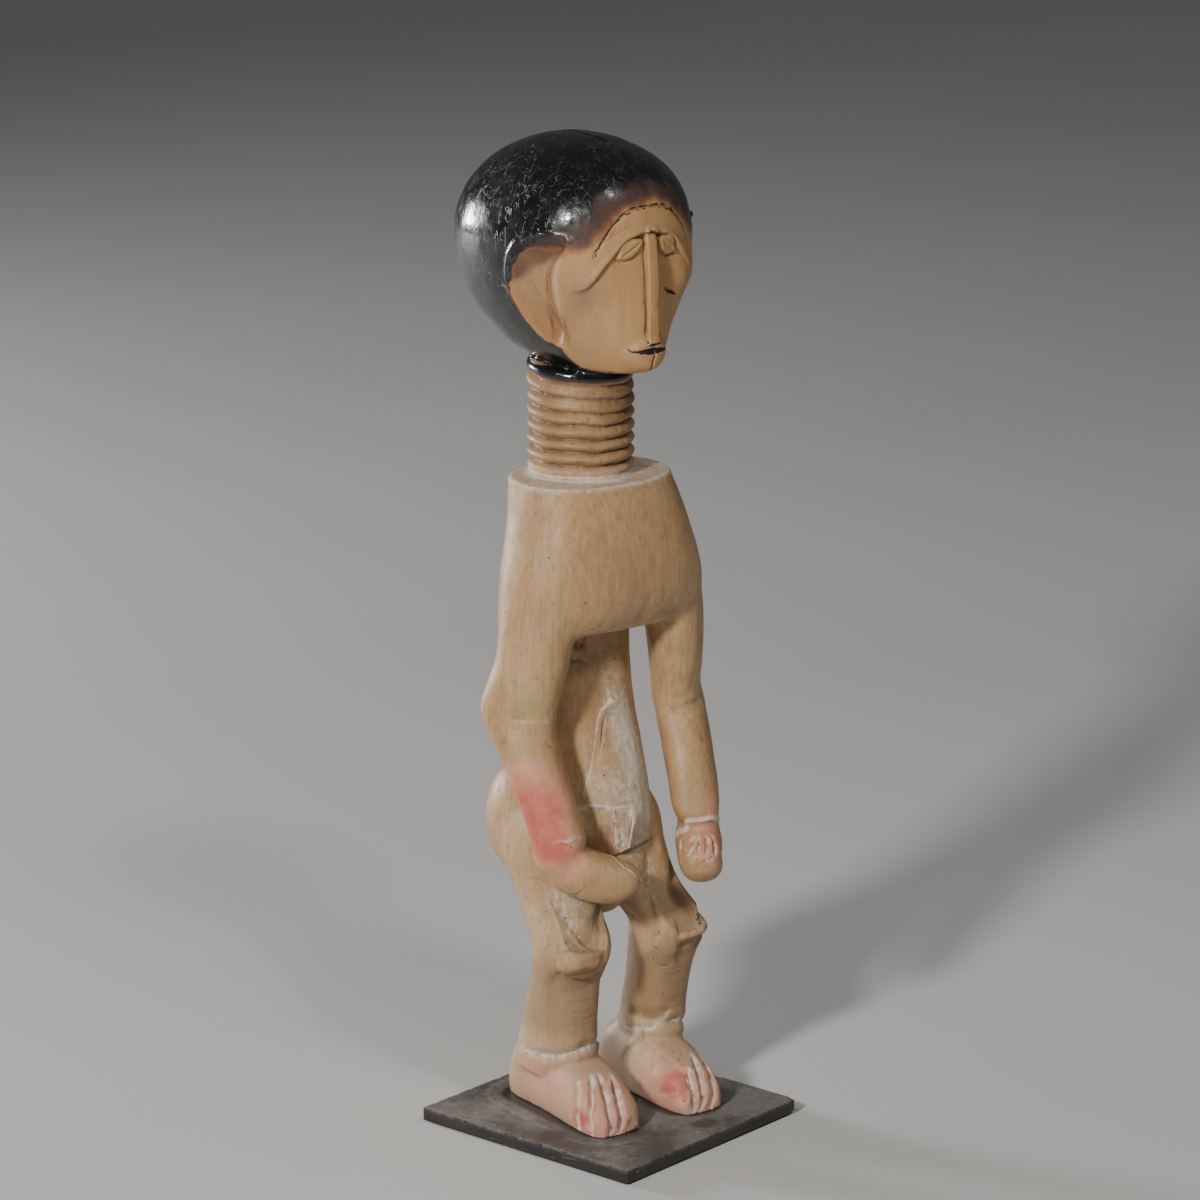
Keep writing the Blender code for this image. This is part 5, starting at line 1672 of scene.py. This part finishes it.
def worn_board(settings, half, low, high):
    """A closed slab of small cells, rounded and chipped along its edges."""
    bm = bmesh.new()
    bmesh.ops.create_cube(bm, size=1.0)
    for vert in bm.verts:
        x, y, z = vert.co
        vert.co = Vector((x * 2 * half[0], y * 2 * half[1], low + (z + 0.5) * (high - low)))
    for axis, size in ((0, 2 * half[0]), (1, 2 * half[1]), (2, high - low)):
        cells = max(3, round(size / settings.grid))
        runs = [e for e in bm.edges if abs((e.verts[0].co - e.verts[1].co)[axis]) > 1e-6]
        bmesh.ops.subdivide_edges(bm, edges=runs, cuts=cells - 1, use_grid_fill=True)
    mesh = bpy.data.meshes.new("display_board")
    bm.to_mesh(mesh)
    bm.free()
    points = points_of(mesh)
    inner = np.array((half[0], half[1], (high - low) / 2)) - settings.edge
    middle = np.array((0, 0, (low + high) / 2))
    off = points - middle
    core = np.clip(off, -inner, inner)
    beyond = off - core
    length = np.linalg.norm(beyond, axis=1, keepdims=True)
    on_edge = (np.abs(beyond) > 1e-9).sum(1) > 1
    rounded = core + beyond * settings.edge / np.maximum(length, 1e-9)
    off[on_edge] = rounded[on_edge]
    bite = np.array([noise.noise(Vector(p) * 160) for p in points])
    bite = np.clip(bite - 0.28, 0, 1) * 2.2 * settings.chip * on_edge
    bite *= 1 - smooth_step(middle[2] - points[:, 2], -0.002, 0.001)
    corner = np.array((half[0], half[1])) * (1, -1)
    at_corner = 1 - smooth_step(np.linalg.norm(points[:, :2] - corner, axis=1), 0.001, 0.006)
    bite += 0.8 * settings.chip * at_corner * on_edge
    inward = beyond / np.maximum(length, 1e-9)
    off -= inward * bite[:, None]
    mesh.vertices.foreach_set("co", (off + middle).astype(np.float32).ravel())
    mesh.update()
    return mesh


HOLE_GAP = 0.0003  # between a screw and the board
SEAT_RIM, SEAT_FOOT = 0.0007, 0.0029  # levels above the screw's head between which its seat narrows
CUT_PAST = 0.004  # how far the cutter runs past the board's two faces


def countersink_cutter(screw, low, high):
    """The screw's hole through the board, with a seat for its head."""
    foot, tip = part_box(screw)
    half_head = (tip.x - foot.x) / 2
    head, shank = half_head + HOLE_GAP, half_head * SHANK_SHARE + HOLE_GAP
    profile = [
        (head, low - CUT_PAST),
        (head, foot.z + SEAT_RIM),
        (shank, foot.z + SEAT_FOOT),
        (shank, high + CUT_PAST),
    ]
    bm = bmesh.new()
    middle = Vector(((foot.x + tip.x) / 2, (foot.y + tip.y) / 2, 0))
    loops = []
    for radius, z in profile:
        ring = []
        for i in range(HOLE_SIDES):
            turn = 2 * math.pi * i / HOLE_SIDES
            ring.append(bm.verts.new(middle + Vector((radius * math.cos(turn), radius * math.sin(turn), z))))
        loops.append(ring)
    for lower, upper in zip(loops, loops[1:]):
        for i in range(HOLE_SIDES):
            j = (i + 1) % HOLE_SIDES
            bm.faces.new((lower[i], lower[j], upper[j], upper[i]))
    bm.faces.new(loops[0])
    bm.faces.new(loops[-1])
    bmesh.ops.recalc_face_normals(bm, faces=bm.faces)
    mesh = bpy.data.meshes.new("countersink")
    bm.to_mesh(mesh)
    bm.free()
    return add_object("countersink_cutter", mesh)


WORN_EDGE = (0.0004, 0.0022)  # distances from an edge between which its bare wood fades out
FOOT_LINE = [(25.0, 33.0), (26.0, -24.0)]  # heel to toe along the left foot, in the figure's frame
FOOT_REACH = 15.0  # from that line to the foot's outside
DUST_RING = (0.0105, 0.0014)  # the dust line's distance from the right foot, and its width
DAMP_SPOTS = [(0.052, 0.022, 0.016), (0.066, 0.002, 0.010), (-0.052, -0.020, 0.014), (0.020, -0.052, 0.012)]
DAMP_FLATNESS = 1.4


def keep_board_masks(mesh, turn, half, high):
    """Worn edges, the dust round the feet and less of it right beside them, as a cleaner board and painted
    shadow, and a few darker spots.
    """
    points = points_of(mesh)
    flat = points[:, :2] @ level_turn(turn)
    to_side = np.sort(half - np.abs(flat), axis=1)[:, 0]
    to_top = high - points[:, 2]
    to_edge = np.hypot(np.maximum(to_side, 0), np.maximum(to_top, 0))
    keep_mask(mesh, "worn", 1 - smooth_step(to_edge, *WORN_EDGE))
    gaps = []
    for side in (-1, 1):
        line = [(FIGURE_ORIGIN.x + side * x * MM, FIGURE_ORIGIN.y + y * MM) for x, y in FOOT_LINE]
        gap, _ = distance_to_path(points[:, :2], line)
        gaps.append(gap - FOOT_REACH * MM)
    outside = np.minimum(*gaps)
    # Less dust here means a cleaner board and painted shadow beside the feet.
    keep_mask(mesh, "near_feet", 1 - smooth_step(outside, 0.001, 0.006))
    away, width = DUST_RING
    keep_mask(mesh, "dust_line", np.exp(-(((gaps[0] - away) / width) ** 2)))
    damp = np.zeros(len(points))
    for x, y, reach in DAMP_SPOTS:
        gap = np.hypot(points[:, 0] - x, (points[:, 1] - y) * DAMP_FLATNESS)
        damp = np.maximum(damp, 1 - smooth_step(gap, 0.3 * reach, reach))
    keep_mask(mesh, "damp", damp)


class CARVING_OT_fixings(bpy.types.Operator):
    """Finishes the pieces under the board: the felt sheet and the two screws"""

    bl_idname = "carving.fixings"
    bl_label = "Finish the fixings"

    def execute(self, context):
        steel = screw_finish()
        for name, material in (("base_felt", felt_finish()), *((screw, steel) for screw in SCREWS)):
            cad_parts[name].material_slots[0].material = material
        return {"FINISHED"}


# ---------------------------------------------------------------- floor, lamps and camera
CAMERA_PLACE = Vector((-1.3961, -1.8362, 0.8726))
CAMERA_HEADING = math.radians(37.12)  # from straight ahead (+Y) towards +X
CAMERA_DIP = math.radians(14.61)
LAMP_AIM = (0.0, 0.02, 0.27)
LAMPS = [  # name, place, size, power and colour
    ("key_left", (-2.35, -1.05, 1.45), 0.32, 74, (1.0, 0.97, 0.93)),
    ("key_high", (-0.25, -1.75, 2.35), 0.4, 18, (1.0, 0.97, 0.94)),
    ("rim_left", (-0.95, 2.45, 0.55), 0.5, 60, (0.97, 0.98, 1.0)),
]
SKY_COLOUR = (0.80, 0.82, 0.85, 1.0)
SKY_STRENGTH = 0.10


def add_lamp(name, place, size, power, colour):
    """A round lamp that faces the figure."""
    lamp = bpy.data.lights.new(name, "AREA")
    lamp.shape = "DISK"
    lamp.size = size
    lamp.energy = power
    lamp.color = colour
    made = bpy.data.objects.new(name, lamp)
    made.location = place
    made.rotation_euler = (Vector(LAMP_AIM) - Vector(place)).to_track_quat("-Z", "Y").to_euler()
    bpy.context.scene.collection.objects.link(made)


class CARVING_OT_stage(bpy.types.Operator):
    """Lays the floor and sets up the lamps and the camera"""

    bl_idname = "carving.stage"
    bl_label = "Set the stage"

    def execute(self, context):
        settings = context.scene.carving_stage
        bm = bmesh.new()
        bmesh.ops.create_circle(bm, cap_ends=True, segments=96, radius=settings.floor_reach)
        mesh = bpy.data.meshes.new("floor")
        bm.to_mesh(mesh)
        bm.free()
        mesh.materials.append(floor_finish(settings.floor_colour))
        floor = add_object("floor", mesh)
        floor.location.z = CAD_BOX[0][2]

        for name, place, size, power, colour in LAMPS:
            add_lamp(name, place, size, power * settings.light, colour)
        world = bpy.data.worlds.new("studio")
        world.use_nodes = True
        background = world.node_tree.nodes["Background"]
        background.inputs["Color"].default_value = SKY_COLOUR
        background.inputs["Strength"].default_value = SKY_STRENGTH
        context.scene.world = world

        camera = bpy.data.cameras.new("camera")
        camera.lens = settings.lens
        camera.sensor_width = 36.0
        made = bpy.data.objects.new("camera", camera)
        way = Vector((0.0, math.cos(CAMERA_DIP), -math.sin(CAMERA_DIP)))
        way.rotate(Matrix.Rotation(-CAMERA_HEADING, 3, "Z"))
        made.location = CAMERA_PLACE
        made.rotation_euler = way.to_track_quat("-Z", "Y").to_euler()
        context.scene.collection.objects.link(made)
        context.scene.camera = made
        return {"FINISHED"}


class CARVING_PT_panel(bpy.types.Panel):
    """Lists the steps that make the figure"""

    bl_idname = "CARVING_PT_panel"
    bl_label = "Carved figure"
    bl_space_type = "VIEW_3D"
    bl_region_type = "UI"
    bl_category = "Carving"

    def draw(self, context):
        scene = context.scene
        for operator, groups in (
            (CARVING_OT_figure, (scene.carving_figure, scene.carving_colours)),
            (CARVING_OT_board, (scene.carving_board,)),
            (CARVING_OT_fixings, ()),
            (CARVING_OT_stage, (scene.carving_stage,)),
        ):
            box = self.layout.box()
            for group in groups:
                for name in group.__annotations__:
                    box.prop(group, name)
            box.operator(operator.bl_idname)


CLASSES = (
    WoodColours,
    FigureSettings,
    BoardSettings,
    StageSettings,
    CARVING_OT_figure,
    CARVING_OT_board,
    CARVING_OT_fixings,
    CARVING_OT_stage,
    CARVING_PT_panel,
)


def register():
    for made in CLASSES:
        bpy.utils.register_class(made)
    bpy.types.Scene.carving_colours = PointerProperty(type=WoodColours)
    bpy.types.Scene.carving_figure = PointerProperty(type=FigureSettings)
    bpy.types.Scene.carving_board = PointerProperty(type=BoardSettings)
    bpy.types.Scene.carving_stage = PointerProperty(type=StageSettings)


def unregister():
    del bpy.types.Scene.carving_stage
    del bpy.types.Scene.carving_board
    del bpy.types.Scene.carving_figure
    del bpy.types.Scene.carving_colours
    for made in reversed(CLASSES):
        bpy.utils.unregister_class(made)


def main():
    register()
    bpy.ops.carving.figure()
    bpy.ops.carving.board()
    bpy.ops.carving.fixings()
    bpy.ops.carving.stage()


if __name__ == "__main__":
    main()
